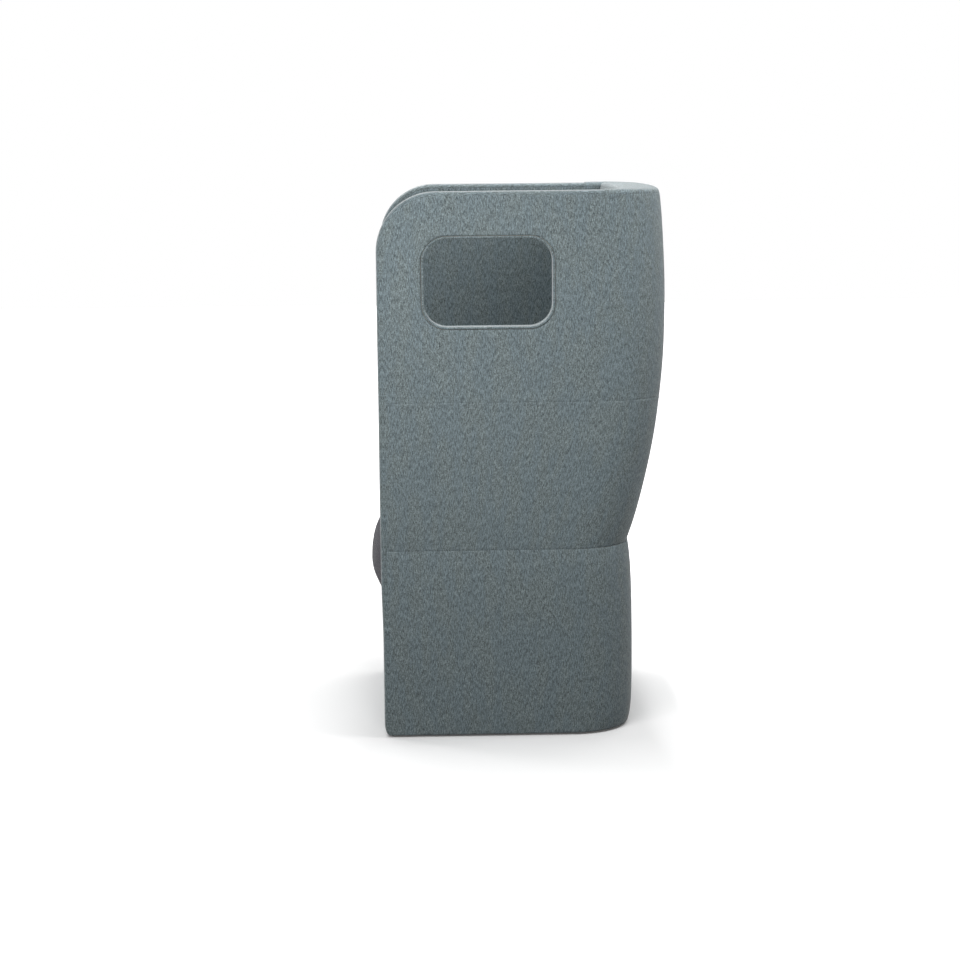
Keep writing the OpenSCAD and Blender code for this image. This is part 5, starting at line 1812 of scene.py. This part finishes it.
@dataclass
class SeatCushion:
    """The seat's cushion: a bullnose front that stands out, a crowned top and drawn-in sides."""

    form: ShellForm
    swell: Swell = Swell(voxel=7 * MM, cap=9 * MM)
    proud: float = 28.4 * MM
    nose_z: float = 416 * MM
    nose_r: float = 140 * MM
    low_z: float = 300 * MM
    top_z: float = 510 * MM
    edge_r: float = 25 * MM
    fall: float = math.radians(2.5)
    rear_r: float = 16 * MM
    side_r: float = 20 * MM
    side_fill: float = 0.9
    crown: float = 5 * MM
    bow_depth: float = 28 * MM
    bow_power: float = 2.6
    bow_fade: Pair = (20 * MM, 150 * MM)
    under_z: float = 344 * MM
    low_r: float = 26 * MM
    full: float = 1.5 * MM
    step_y: float = 36 * MM
    slack: float = 2.5 * MM
    foam_inset: float = 13 * MM
    filled: float = 0.8
    end_reach: Pair = (4 * MM, 30 * MM)
    seam_in: float = 13 * MM
    seam_fade: float = 0.6
    pucker: float = 0.25
    pucker_pitch: float = 10 * MM
    wave: float = 0.6 * MM
    wave_lengths: Pair = (0.09, 0.3)
    wave_gap: float = 30 * MM
    stitch: Stitch = Stitch()
    stitch_gap: float = 6 * MM
    stitch_low: float = 12 * MM
    stitch_rear: float = 25 * MM
    stitch_under: float = 40 * MM
    stitch_step: float = 20 * MM
    seam_depth: float = 1.8 * MM
    seam_reach: float = 4 * MM

    @property
    def rear_y(self) -> float:
        """Where the cushion meets the inner back."""
        return self.form.back_low_y - 0.3 * MM

    @property
    def half_x(self) -> float:
        """Half the cushion's width between the panels."""
        return self.form.inner_x - 0.4 * MM

    def bow(self, points: Array) -> Array:
        """How far back the rounded plan brings each place of the front."""
        near, far = self.bow_fade
        share = np.clip((far - (points[:, 1] - self.form.front_y)) / (far - near), 0, 1)
        bend = np.abs(points[:, 0] / self.half_x) ** self.bow_power
        return self.bow_depth * bend * share**2 * (3 - 2 * share)

    def profile(self, inset: float, count: int = 220) -> Array:
        """Closed profile of the cushion, from the rear round by the front.

        Args:
            inset: How far it is drawn in.
            count: Number of points.

        Returns:
            y behind the panels' fronts, and z.
        """
        nose_y = self.nose_r - self.proud
        r = self.nose_r - inset
        low_r, rear_r, under_z = self.low_r, self.rear_r, self.under_z + inset
        end = math.asin((self.top_z - self.nose_z - self.edge_r) / (self.nose_r - self.edge_r))
        low = math.asin((self.low_z + low_r - self.nose_z) / r)
        low_y, low_z = nose_y - (r - low_r) * math.cos(low), self.nose_z + (r - low_r) * math.sin(low)
        cy = nose_y - (self.nose_r - self.edge_r) * math.cos(end)
        cz = self.nose_z + (self.nose_r - self.edge_r) * math.sin(end)
        small = self.edge_r - inset
        rear = self.rear_y - inset
        rear_top = cz + small - (rear - rear_r - cy) * math.tan(self.fall)
        foot = [(low_y - low_r * math.cos(a), low_z + low_r * math.sin(a))
                for a in np.linspace(-math.pi / 2, low, 9)[:-1]]
        nose = [(nose_y - r * math.cos(a), self.nose_z + r * math.sin(a)) for a in np.linspace(low, end, 40)]
        over = [(cy - small * math.cos(a), cz + small * math.sin(a))
                for a in np.linspace(end, math.pi / 2 + self.fall, 12)[1:]]
        back = [(rear - rear_r + rear_r * math.sin(a), rear_top - rear_r + rear_r * math.cos(a))
                for a in np.linspace(self.fall, math.pi / 2, 8)]
        under = [(rear, under_z + 4 * MM), (rear - 4 * MM, under_z), (self.step_y + 4 * MM, under_z),
                 (self.step_y, under_z - 4 * MM), (self.step_y, self.low_z + inset + 3 * MM),
                 (self.step_y - 3 * MM, foot[0][1])]
        round_front = foot + nose
        loop = under[:3][::-1] + back[::-1] + over[::-1] + round_front[::-1] + under[3:][::-1]
        return even_loop(np.array(loop), count)

    def section(self, place: float, inset: float) -> Array:
        """Points of the outline at a place across the cushion, drawn in by an amount."""
        loop = self.profile(inset) + (self.form.front_y, 0)
        points = np.concatenate([np.full((len(loop), 1), place), loop], axis=1)
        points[:, 1] += self.bow(points)
        return points

    def build(self, rows: RowTree) -> None:
        """Makes the cushion, lets it swell, and sews and dresses it.

        Args:
            rows: The tree that sets its stitches.
        """
        half = self.half_x - self.slack
        sections = [self.section(place, self.slack + self.side_fill * side_draw(place, half, self.side_r)
                                 + self.crown * (place / half) ** 2)
                    for place in pad_places(half, self.side_r)]
        pad = swollen("seat_cushion", *loft(np.array(sections)), self.swell)
        self.foam()
        self.fit(pad)
        self.draw_in_seams(pad)
        dense = self.profile(0, 900) + (self.form.front_y, 0)
        store_weave(pad.data, profile_weave(mesh_points(pad), dense))
        fit_out(pad, SEAT_CLOTH, "seat_cover")
        self.sew_stitches(pad, rows)

    def foam(self) -> None:
        """The foam inside, a little smaller than its cover all round."""
        half = self.half_x - self.side_r - self.slack
        sections = [self.section(place, self.foam_inset) for place in np.linspace(-half, half, 15)]
        block = mesh_object("seat_foam_block", *loft(np.array(sections)), sharp=CRISP_ANGLE)
        fit_out(block, FOAM, "seat_foam")

    def fit(self, pad: Item) -> None:
        """Flattens the cushion where it rests on the frame, the back and between the panels.

        Args:
            pad: The swollen cushion.
        """
        points = mesh_points(pad)
        limit = self.full - self.crown * (points[:, 0] / self.half_x) ** 2
        back = self.bow(points)
        points[:, 1] -= back
        near, far = self.end_reach
        fill = self.filled * np.clip((self.half_x - np.abs(points[:, 0]) - near) / (far - near), 0, 1)
        profile = self.profile(0, 900) + (self.form.front_y, 0)
        points[:, 1:] = held_within(points[:, 1:], profile, limit, fill)
        points[:, 1] += back
        y = points[:, 1] - self.form.front_y
        points[:, 0] = np.clip(points[:, 0], -self.half_x, self.half_x)
        points[:, 1] = np.minimum(y, self.rear_y) + self.form.front_y
        low = np.where(y > self.step_y + 2 * MM, self.under_z, self.low_z)
        points[:, 2] = np.maximum(points[:, 2], low)
        LOG.info("seat cushion: front %.1f mm proud, top at %.1f mm", -1000 * y.min(),
                 1000 * points[:, 2].max())
        move_points(pad, points)

    def draw_in_seams(self, pad: Item) -> None:
        """Draws the two side seams in, and puckers the cloth beside them."""
        points, normals = mesh_points(pad), mesh_points(pad, "normal")
        away = np.abs(np.abs(points[:, 0]) - (self.half_x - self.seam_in))
        facing = np.clip(1 - np.abs(normals[:, 0]) * self.seam_fade, 0, 1)
        phase = (points[:, 1] + points[:, 2]) * 2 * math.pi / self.pucker_pitch
        puckers = 1 + self.pucker * np.sin(phase)
        sink = self.seam_depth * np.exp(-((away / self.seam_reach) ** 2)) * facing * puckers
        sink -= self.wave * soft_waves(points, 8, self.wave_lengths) * np.clip(away / self.wave_gap, 0, 1)
        move_points(pad, points - normals * sink[:, None])

    def sew_stitches(self, pad: Item, rows: RowTree) -> None:
        """Sets a row of stitches beside each side seam."""
        y, z = self.profile(0, 600).T
        shown = (z > self.low_z + self.stitch_low) & (y < self.rear_y - self.stitch_rear)
        shown &= (z > self.under_z + self.stitch_under) | (y < self.step_y - self.stitch_step)
        shown = np.stack([y[shown], z[shown]], axis=1)
        paths = []
        for side in Side:
            x = side.value * (self.half_x - self.seam_in - self.stitch_gap)
            wanted = np.concatenate([np.full((len(shown), 1), x), shown + (self.form.front_y, 0)], axis=1)
            paths.append(surface_line(pad, wanted, self.stitch.lift))
        self.stitch.sew(rows, "seat_stitches", paths, 2)


@dataclass
class BackCushion:
    """The loose cushion that stands on the seat and leans on the inner back."""

    form: ShellForm
    swell: Swell = Swell(voxel=6.5 * MM, cap=9 * MM)
    low_z: float = 488.5 * MM
    length: float = 505.4 * MM
    thickness: float = 65 * MM
    half_x: float = 322 * MM
    round_r: float = 26 * MM
    side_fill: float = 0.8
    crown: float = 9 * MM
    draw: float = 5 * MM
    rear_r: float = 12 * MM
    gap: float = 0.4 * MM
    wave: float = 0.7 * MM
    wave_lengths: Pair = (0.09, 0.28)
    seam_in: float = 9 * MM
    seam_out: float = 0.62
    seam_slant: float = 0.7
    stitch: Stitch = Stitch()
    stitch_in: float = 16 * MM
    slack: float = 5 * MM
    seam_depth: float = 1.8 * MM
    seam_reach: float = 4 * MM

    @property
    def foot_y(self) -> float:
        """Where the cushion's lower rear edge stands."""
        return float(self.form.inner_y(np.array(self.low_z))) - self.gap + self.form.front_y

    def place(self, local: Array) -> Array:
        """Turns places across, up and in front of the leaning back into the frame."""
        rake = self.form.back_rake
        y = self.foot_y + local[:, 1] * math.sin(rake) - local[:, 2] * math.cos(rake)
        z = self.low_z + local[:, 1] * math.cos(rake) + local[:, 2] * math.sin(rake)
        return np.stack([local[:, 0], y, z], axis=1)

    def local(self, points: Array) -> Array:
        """Turns places in the frame into places across, up and in front of the leaning back."""
        rake = self.form.back_rake
        y, z = points[:, 1] - self.foot_y, points[:, 2] - self.low_z
        return np.stack([points[:, 0], y * math.sin(rake) + z * math.cos(rake),
                         -y * math.cos(rake) + z * math.sin(rake)], axis=1)

    def profile(self, inset: float, count: int = 180) -> Array:
        """Closed profile of the cushion.

        Args:
            inset: How far it is drawn in.
            count: Number of points.

        Returns:
            Places up the leaning back and in front of it.
        """
        low = inset + self.thickness * math.sin(self.form.back_rake)
        high = self.length - inset
        flat = self.thickness - self.crown - inset
        r, rear = self.round_r - 0.4 * inset, self.rear_r
        turn = np.linspace(0, math.pi / 2, 9)
        front = ([(low + r - r * math.cos(a), flat - r + r * math.sin(a)) for a in turn]
                 + [(low + r + (high - low - 2 * r) * s, flat + self.crown * math.sin(math.pi * s))
                    for s in np.linspace(0, 1, 30)[1:-1]]
                 + [(high - r + r * math.sin(a), flat - r + r * math.cos(a)) for a in turn])
        back = ([(high - rear + rear * math.cos(a), inset + rear - rear * math.sin(a)) for a in turn]
                + [(low + rear - rear * math.sin(a), inset + rear - rear * math.cos(a)) for a in turn])
        return even_loop(np.roll(np.array(front + back), -len(front) - len(turn), axis=0), count)

    def build(self, rows: RowTree) -> None:
        """Makes the cushion, lets it swell, and sews and dresses it.

        Args:
            rows: The tree that sets its stitches.
        """
        half = self.half_x - self.slack
        sections = []
        for place in pad_places(half, self.round_r):
            draw = self.draw * (1 - (place / half) ** 2)
            drawn = self.side_fill * side_draw(place, half, self.round_r)
            loop = self.profile(self.slack + drawn + draw / 2)
            pull = 1 - self.draw / half * np.sin(math.pi * np.clip(loop[:, 0] / self.length, 0, 1))
            sections.append(np.concatenate([(place * pull)[:, None], loop], axis=1))
        flat, faces = loft(np.array(sections))
        pad = swollen("back_cushion", self.place(flat), faces, self.swell)
        self.fit(pad)
        store_weave(pad.data, profile_weave(self.local(mesh_points(pad)), self.profile(0, 900)))
        fit_out(pad, SEAT_CLOTH, "back_cushion_cover")
        self.sew_stitches(pad, rows)

    def seam_gap(self, local: Array) -> Array:
        """Distance of each place from the seam that runs round the cushion's front."""
        x = self.half_x - self.seam_in - np.abs(local[:, 0])
        low = self.thickness * math.sin(self.form.back_rake) + self.seam_in
        up = np.minimum(local[:, 1] - low, self.length - self.seam_in - local[:, 1])
        behind = np.maximum(0, self.thickness * self.seam_out - local[:, 2])
        return np.hypot(np.minimum(x, up), behind * self.seam_slant)

    def fit(self, pad: Item) -> None:
        """Flattens the cushion against the back and on the seat, and draws its seam in.

        Args:
            pad: The swollen cushion.
        """
        points, normals = mesh_points(pad), mesh_points(pad, "normal")
        sink = self.seam_depth * np.exp(-((self.seam_gap(self.local(points)) / self.seam_reach) ** 2))
        sink -= self.wave * soft_waves(points, 12, self.wave_lengths)
        local = self.local(points - normals * sink[:, None])
        foot = -self.thickness * math.sin(self.form.back_rake)
        low, high = local[:, 1].min(), local[:, 1].max()
        local[:, 1] = foot + (local[:, 1] - low) * (self.length - foot) / (high - low)
        local[:, 0] = np.clip(local[:, 0], -self.half_x, self.half_x)
        local[:, 2] = np.maximum(local[:, 2], 0)
        points = self.place(local)
        points[:, 2] = np.maximum(points[:, 2], self.low_z)
        LOG.info("back cushion: %.1f mm thick, top at %.1f mm", 1000 * local[:, 2].max(),
                 1000 * points[:, 2].max())
        move_points(pad, points)

    def sew_stitches(self, pad: Item, rows: RowTree) -> None:
        """Sets a row of stitches just inside the seam round the cushion's front."""
        low = self.thickness * math.sin(self.form.back_rake) + self.stitch_in
        high = self.length - self.stitch_in
        half = self.half_x - self.stitch_in
        loop = even_loop(np.array([(-half, low), (half, low), (half, high), (-half, high)]), 700)
        loop = np.concatenate([loop, loop[:1]])
        wanted = np.concatenate([loop, np.full((len(loop), 1), self.thickness)], axis=1)
        line = surface_line(pad, self.place(wanted), self.stitch.lift)
        self.stitch.sew(rows, "back_cushion_stitches", [line], 3)


@dataclass
class Suspension:
    """The interlaced webbing and the felt under the seat's foam, and the cloth under the base."""

    form: ShellForm
    strap_w: float = 50 * MM
    strap_tailor: Tailor = Tailor(thickness=1.3 * MM, seam_depth=0.15 * MM, pucker=0.0, wave=0.1 * MM)
    felt_tailor: Tailor = Tailor(seam_depth=0.3 * MM, pucker=0.1 * MM, wave=0.4 * MM,
                                 wave_lengths=(0.05, 0.2))
    dust_tailor: Tailor = Tailor(thickness=0.8 * MM, seam_depth=0.2 * MM, pucker=0.15 * MM, wave=0.5 * MM,
                                 wave_lengths=(0.06, 0.25))
    lengthways: int = 5
    crossways: int = 4
    strap_rise: float = 0.72 * MM
    felt_step: float = 10 * MM
    dust_step: float = 9 * MM
    hole_r: float = 12 * MM
    hole_reach: float = 9 * MM
    front_clear: float = 32 * MM
    toe_clear: float = 18 * MM

    def build(self) -> None:
        """Makes the straps, the felt and the dust cover."""
        low, high = (np.array(corner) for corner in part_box("seat_webbing"))
        span = high - low
        long_places = low[0] + span[0] * np.arange(1, self.lengthways + 1) / (self.lengthways + 1)
        cross_places = low[1] + span[1] * np.arange(1, self.crossways + 1) / (self.crossways + 1)
        middle = (low[2] + high[2]) / 2
        straps = [self.strap(low[1], high[1], place, 0, middle, cross_places, number)
                  for number, place in enumerate(long_places)]
        straps += [self.strap(low[0], high[0], place, 1, middle, long_places, number + 1)
                   for number, place in enumerate(cross_places)]
        for strap in straps:
            fit_out(strap, WEBBING, "seat_webbing")
        self.felt()
        self.dust_cover()

    def strap(self, start: float, end: float, place: float, across: int, middle: float, crossed: Array,
              order: int) -> Item:
        """One strap, which runs over and under those that it crosses.

        Args:
            start: Where its length starts.
            end: Where its length ends.
            place: Where its middle line lies.
            across: The axis that its width lies along.
            middle: Height between the two sets of straps.
            crossed: Places of the straps that it crosses.
            order: Its number, which says where it starts over or under.

        Returns:
            The strap.
        """
        along = start + graded(end - start, 7 * MM)
        width = place + np.linspace(-self.strap_w / 2, self.strap_w / 2, 8)
        rise = np.zeros(len(along))
        for number, other in enumerate(crossed):
            over = 1 if (number + order + across) % 2 else -1
            rise += over * np.exp(-(((along - other) / (0.55 * self.strap_w)) ** 4))
        height = (middle + self.strap_tailor.thickness / 2 + self.strap_rise * rise)[:, None]
        grid = net(along[:, None], width, height) if across else net(width, along[:, None], height)
        sheet = Sheet.from_grid(grid, width, along).facing((0, 0, 1))
        return self.strap_tailor.sew(f"webbing_{'cross' if across else 'long'}_{order}", sheet, 60 + order)

    def felt(self) -> None:
        """The felt between the webbing and the foam."""
        low, high = (np.array(corner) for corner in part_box("seat_pad"))
        x, y = (low[k] + graded(high[k] - low[k], self.felt_step) for k in range(2))
        sheet = Sheet.from_grid(net(x, y[:, None], high[2]), x, y).facing((0, 0, 1))
        fit_out(self.felt_tailor.sew("seat_felt", sheet, 71), FELT, "seat_pad")

    def dust_cover(self) -> None:
        """The thin black cloth stapled under the base, with a hole for each glide."""
        form = self.form
        low, high = (np.array(corner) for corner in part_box("dust_cover"))
        inset = form.half_w - high[0]
        radius = form.corner_r - inset
        y = low[1] + graded(high[1] - low[1], self.dust_step)
        past = np.clip(y - (high[1] - radius), 0, radius)
        half = high[0] - radius + np.sqrt(radius**2 - past**2)
        share = 2 * graded(1.0, self.dust_step / (2 * high[0])) - 1
        grid = net(share * half[:, None], y[:, None], low[2])
        middles = (grid[1:, 1:] + grid[:-1, :-1]) / 2
        behind = middles[..., 1] - form.front_y
        on_toe = (np.abs(middles[..., 0]) > form.inner_x) & (behind > self.toe_clear)
        keep = (behind > self.front_clear) | on_toe
        for corner in CORNERS:
            centre = sum(np.array(place)[:2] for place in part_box(f"glide_stem_{corner}")) / 2
            away = grid[..., :2] - centre
            size = np.maximum(np.linalg.norm(away, axis=-1), 1e-6)
            inside = size < self.hole_r
            keep &= ~(inside[:-1, :-1] | inside[1:, :-1] | inside[:-1, 1:] | inside[1:, 1:])
            near = (size >= self.hole_r) & (size < self.hole_r + self.hole_reach)
            pulled = centre + away / size[..., None] * (self.hole_r + size)[..., None] / 2
            grid[..., :2] = np.where(near[..., None], pulled, grid[..., :2])
        sheet = Sheet.from_grid(grid, share * high[0], y, keep).facing((0, 0, -1))
        fit_out(self.dust_tailor.sew("dust_cloth", sheet, 73), FELT, "dust_cover")


@dataclass(frozen=True)
class FoamLayers:
    """The foam under the covers, drawn in a little from its cut size, as the cloth presses on it."""

    form: ShellForm
    thin: tuple[str, ...] = ("outer_foam_left", "outer_foam_right", "inner_foam_left", "inner_foam_right",
                             "edge_foam_left", "edge_foam_right", "back_outer_foam", "back_top_foam",
                             "back_inner_foam", "base_foam", "front_foam")
    thick: tuple[str, ...] = ("back_cushion_foam",)
    thin_press: float = 3.2 * MM
    thick_press: float = 8 * MM
    toe_fill: float = 0.72

    def build(self, nodes: Mapping[str, Item]) -> None:
        """Makes all the layers from the cut foam's solids."""
        for name in self.thin:
            self.pressed(nodes[name], self.thin_press)
        for name in self.thick:
            self.pressed(nodes[name], self.thick_press)

    def pressed(self, node: Item, press: float) -> None:
        """Makes one layer whose faces all lie inside the cut solid's.

        Args:
            node: The cut foam's node.
            press: How far each face is drawn in.
        """
        shape = bmesh.new()
        shape.from_mesh(node.data)
        bmesh.ops.remove_doubles(shape, verts=shape.verts, dist=0.02 * MM)
        bmesh.ops.recalc_face_normals(shape, faces=shape.faces)
        shape.normal_update()
        moves = [vert.normal * press * min(vert.calc_shell_factor(), 2.0) for vert in shape.verts]
        for vert, move in zip(shape.verts, moves):
            vert.co -= move
            if node.name.startswith("edge_foam"):
                self.tuck_toe(vert)
            elif node.name == "base_foam":
                self.tuck_rear(vert)
        mesh = bpy.data.meshes.new(f"{node.name}_pressed")
        shape.to_mesh(mesh)
        shape.free()
        fit_out(add_object(mesh.name, mesh), FOAM, node.name)

    def tuck_toe(self, vert: bmesh.types.BMVert) -> None:
        """Keeps a corner of an edge's foam inside the rounded toe of its band."""
        form = self.form
        away = Vector(((vert.co.y - form.front_y - form.base_lean) / form.toe_depth - 1,
                       (vert.co.z - form.hem) / form.toe_h - 1))
        if away.x < 0 and away.y < 0 and away.length > self.toe_fill:
            away *= self.toe_fill / away.length
            vert.co.y = (away.x + 1) * form.toe_depth + form.base_lean + form.front_y
            vert.co.z = (away.y + 1) * form.toe_h + form.hem

    def tuck_rear(self, vert: bmesh.types.BMVert) -> None:
        """Keeps the base's foam inside its cover's drawn-in lower edge at the rear."""
        if vert.co.z < self.form.waist / 2 and vert.co.y > 0:
            vert.co.y -= self.form.rear_toe


def dress_nodes(frame: Mapping[str, Any]) -> None:
    """Gives every node that stays shown the finish of its slot in the record."""
    slots = {part["node"]: part["material_slot"] for part in frame["record"]["subparts"]}
    for name, item in frame["nodes"].items():
        finish = SLOT_FINISHES[slots[name]]
        if not item.data.materials:
            item.data.materials.append(None)
        for number in range(len(item.data.materials)):
            item.data.materials[number] = finish.material()
    LOG.info("%d nodes dressed", len(frame["nodes"]))


# The studio


@dataclass(frozen=True)
class Softbox:
    """A large soft lamp: its place, what it looks at, its size and its power."""

    name: str
    place: Triple
    aim: Triple
    size: Pair
    watts: float

    def hang(self) -> None:
        """Adds the lamp to the scene."""
        lamp = bpy.data.lights.new(self.name, "AREA")
        lamp.shape = "RECTANGLE"
        lamp.size, lamp.size_y = self.size
        lamp.energy = self.watts
        item = add_object(self.name, lamp)
        item.location = self.place
        item.rotation_euler = (Vector(self.aim) - Vector(self.place)).to_track_quat("-Z", "Y").to_euler()


@dataclass(frozen=True)
class Studio:
    """A white room: a floor that keeps the chair's shadow, soft lamps and the photograph's camera."""

    lens: float = 89.85
    eye: Triple = (6.1912, -0.2426, 1.5136)
    right: Triple = (0.0257, 0.99962, -0.01006)
    up: Triple = (-0.14709, 0.01373, 0.98903)
    forward: Triple = (-0.98879, 0.02394, -0.14738)
    ambient: float = 0.115
    floor_half: float = 14.0
    floor_tone: Colour = linear(100, 100, 100)
    floor_seen: Colour = linear(247, 247, 247)
    floor_rough: float = 0.9
    # The floor's glow is weaker within reach of this footprint, which paints a soft shadow round the chair.
    footprint: Pair = (0.375, 0.324)
    footprint_y: float = -0.024
    shadow_reach: Triple = (0.27, 0.09, 0.021)
    shadow_blur: float = 0.05
    shadow_lift: float = 0.2
    under_glow: float = 0.08
    open_floor: Pair = (3.0, 9.0)
    lamps: tuple[Softbox, ...] = (
        Softbox("overhead softbox", (-0.8, 0.0, 2.75), (-0.8, 0.0, 0.0), (1.4, 2.4), 46),
        Softbox("side softbox", (1.9, -0.6, 1.66), (0.3, 0.0, 1.05), (1.4, 1.0), 28),
        Softbox("rear softbox", (0.5, 1.55, 2.4), (0.1, 0.35, 1.5), (1.2, 1.0), 25),
        Softbox("front softbox", (-1.4, -2.9, 1.4), (-0.1, 0.0, 0.8), (0.9, 1.2), 31),
    )

    def build(self) -> None:
        """Sets up the camera, the lamps, the surroundings and the floor."""
        self.camera()
        self.surroundings()
        self.floor()
        for lamp in self.lamps:
            lamp.hang()
        bpy.context.scene.view_settings.view_transform = "Standard"

    def camera(self) -> None:
        """Puts the camera at the photograph's place and angle."""
        data = bpy.data.cameras.new("camera")
        data.lens = self.lens
        data.sensor_width = 36.0
        item = add_object("camera", data)
        columns = (self.right, self.up, tuple(-v for v in self.forward))
        turn = Matrix([[column[row] for column in columns] for row in range(3)]).to_4x4()
        item.matrix_world = Matrix.Translation(self.eye) @ turn
        bpy.context.scene.camera = item

    def surroundings(self) -> None:
        """Lights the chair evenly from all round, and shows plain white behind it."""
        world = bpy.data.worlds.new("studio")
        graph = empty_graph(world)
        strength = graph.spread(graph.seen(), 0.0, 1.0, self.ambient, 1.0)
        light = graph.add("ShaderNodeBackground", {"Color": WHITE, "Strength": strength})
        graph.add("ShaderNodeOutputWorld", {"Surface": light.outputs[0]})
        bpy.context.scene.world = world

    def floor(self) -> None:
        """Lays a white floor that keeps the chair's shadow from the lamps, and glows less near the
        footprint: a painted shadow round the chair, with a faint painted light under it.
        """
        corners = np.array([(-1, -1, 0), (1, -1, 0), (1, 1, 0), (-1, 1, 0)]) * self.floor_half
        floor = mesh_object("studio_floor", corners, [[0, 1, 2, 3]])
        material = bpy.data.materials.new("studio floor")
        graph = empty_graph(material)
        seen = graph.seen()
        away = self.floor_distance(graph)
        # The glow rises from a faint painted light under the chair to full white away from it: a painted
        # shadow round the footprint.
        fade = graph.math("SUBTRACT", 1.0, graph.math("EXPONENT", graph.math("MULTIPLY", away, -1.0)))
        lift = graph.math("MULTIPLY_ADD", fade, self.shadow_lift, self.under_glow)
        glow = graph.math("ADD", lift, graph.spread(away, *self.open_floor))
        paint = graph.add("ShaderNodeBsdfPrincipled", {
            "Base Color": graph.mix(seen, self.floor_tone, self.floor_seen), "Roughness": self.floor_rough,
            "Emission Color": WHITE, "Emission Strength": graph.math("MULTIPLY", seen, glow)})
        graph.add("ShaderNodeOutputMaterial", {"Surface": paint.outputs[0]})
        floor.data.materials.append(material)

    def floor_distance(self, graph: ShaderGraph) -> Socket:
        """Distance of a place on the floor from the chair's footprint.

        Args:
            graph: The floor's graph.

        Returns:
            The distance, in reaches of the painted shadow round the chair.
        """
        place = graph.add("ShaderNodeSeparateXYZ", {0: graph.add("ShaderNodeTexCoord").outputs["Object"]})
        behind = graph.math("SUBTRACT", place.outputs[1], self.footprint_y)
        gaps = (graph.math("SUBTRACT", graph.math("ABSOLUTE", place.outputs[0]), self.footprint[0]),
                graph.math("SUBTRACT", graph.math("MULTIPLY", behind, -1.0), self.footprint[1]),
                graph.math("SUBTRACT", behind, self.footprint[1]))
        total = 0.0
        for gap, reach in zip(gaps, self.shadow_reach):
            gap = graph.math("MAXIMUM", gap, 0.0)
            blurred = graph.math("SQRT", graph.math("MULTIPLY_ADD", gap, gap, self.shadow_blur**2))
            step = graph.math("DIVIDE", graph.math("SUBTRACT", blurred, self.shadow_blur), reach)
            total = graph.math("MULTIPLY_ADD", step, step, total)
        return graph.math("SQRT", total)


def main() -> None:
    """Builds the chair's looks in order."""
    logging.basicConfig(level=logging.INFO, format="%(name)s: %(message)s")
    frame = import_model()
    Studio().build()
    dress_nodes(frame)
    form = ShellForm.from_frame()
    FoamLayers(form).build(frame["nodes"])
    rows = RowTree()
    SidePanels(form, Opening.from_frame()).build(PipingTree())
    Back(form).build()
    Base(form).build(rows)
    SeatCushion(form).build(rows)
    BackCushion(form).build(rows)
    Suspension(form).build()


if __name__ == "__main__":
    main()
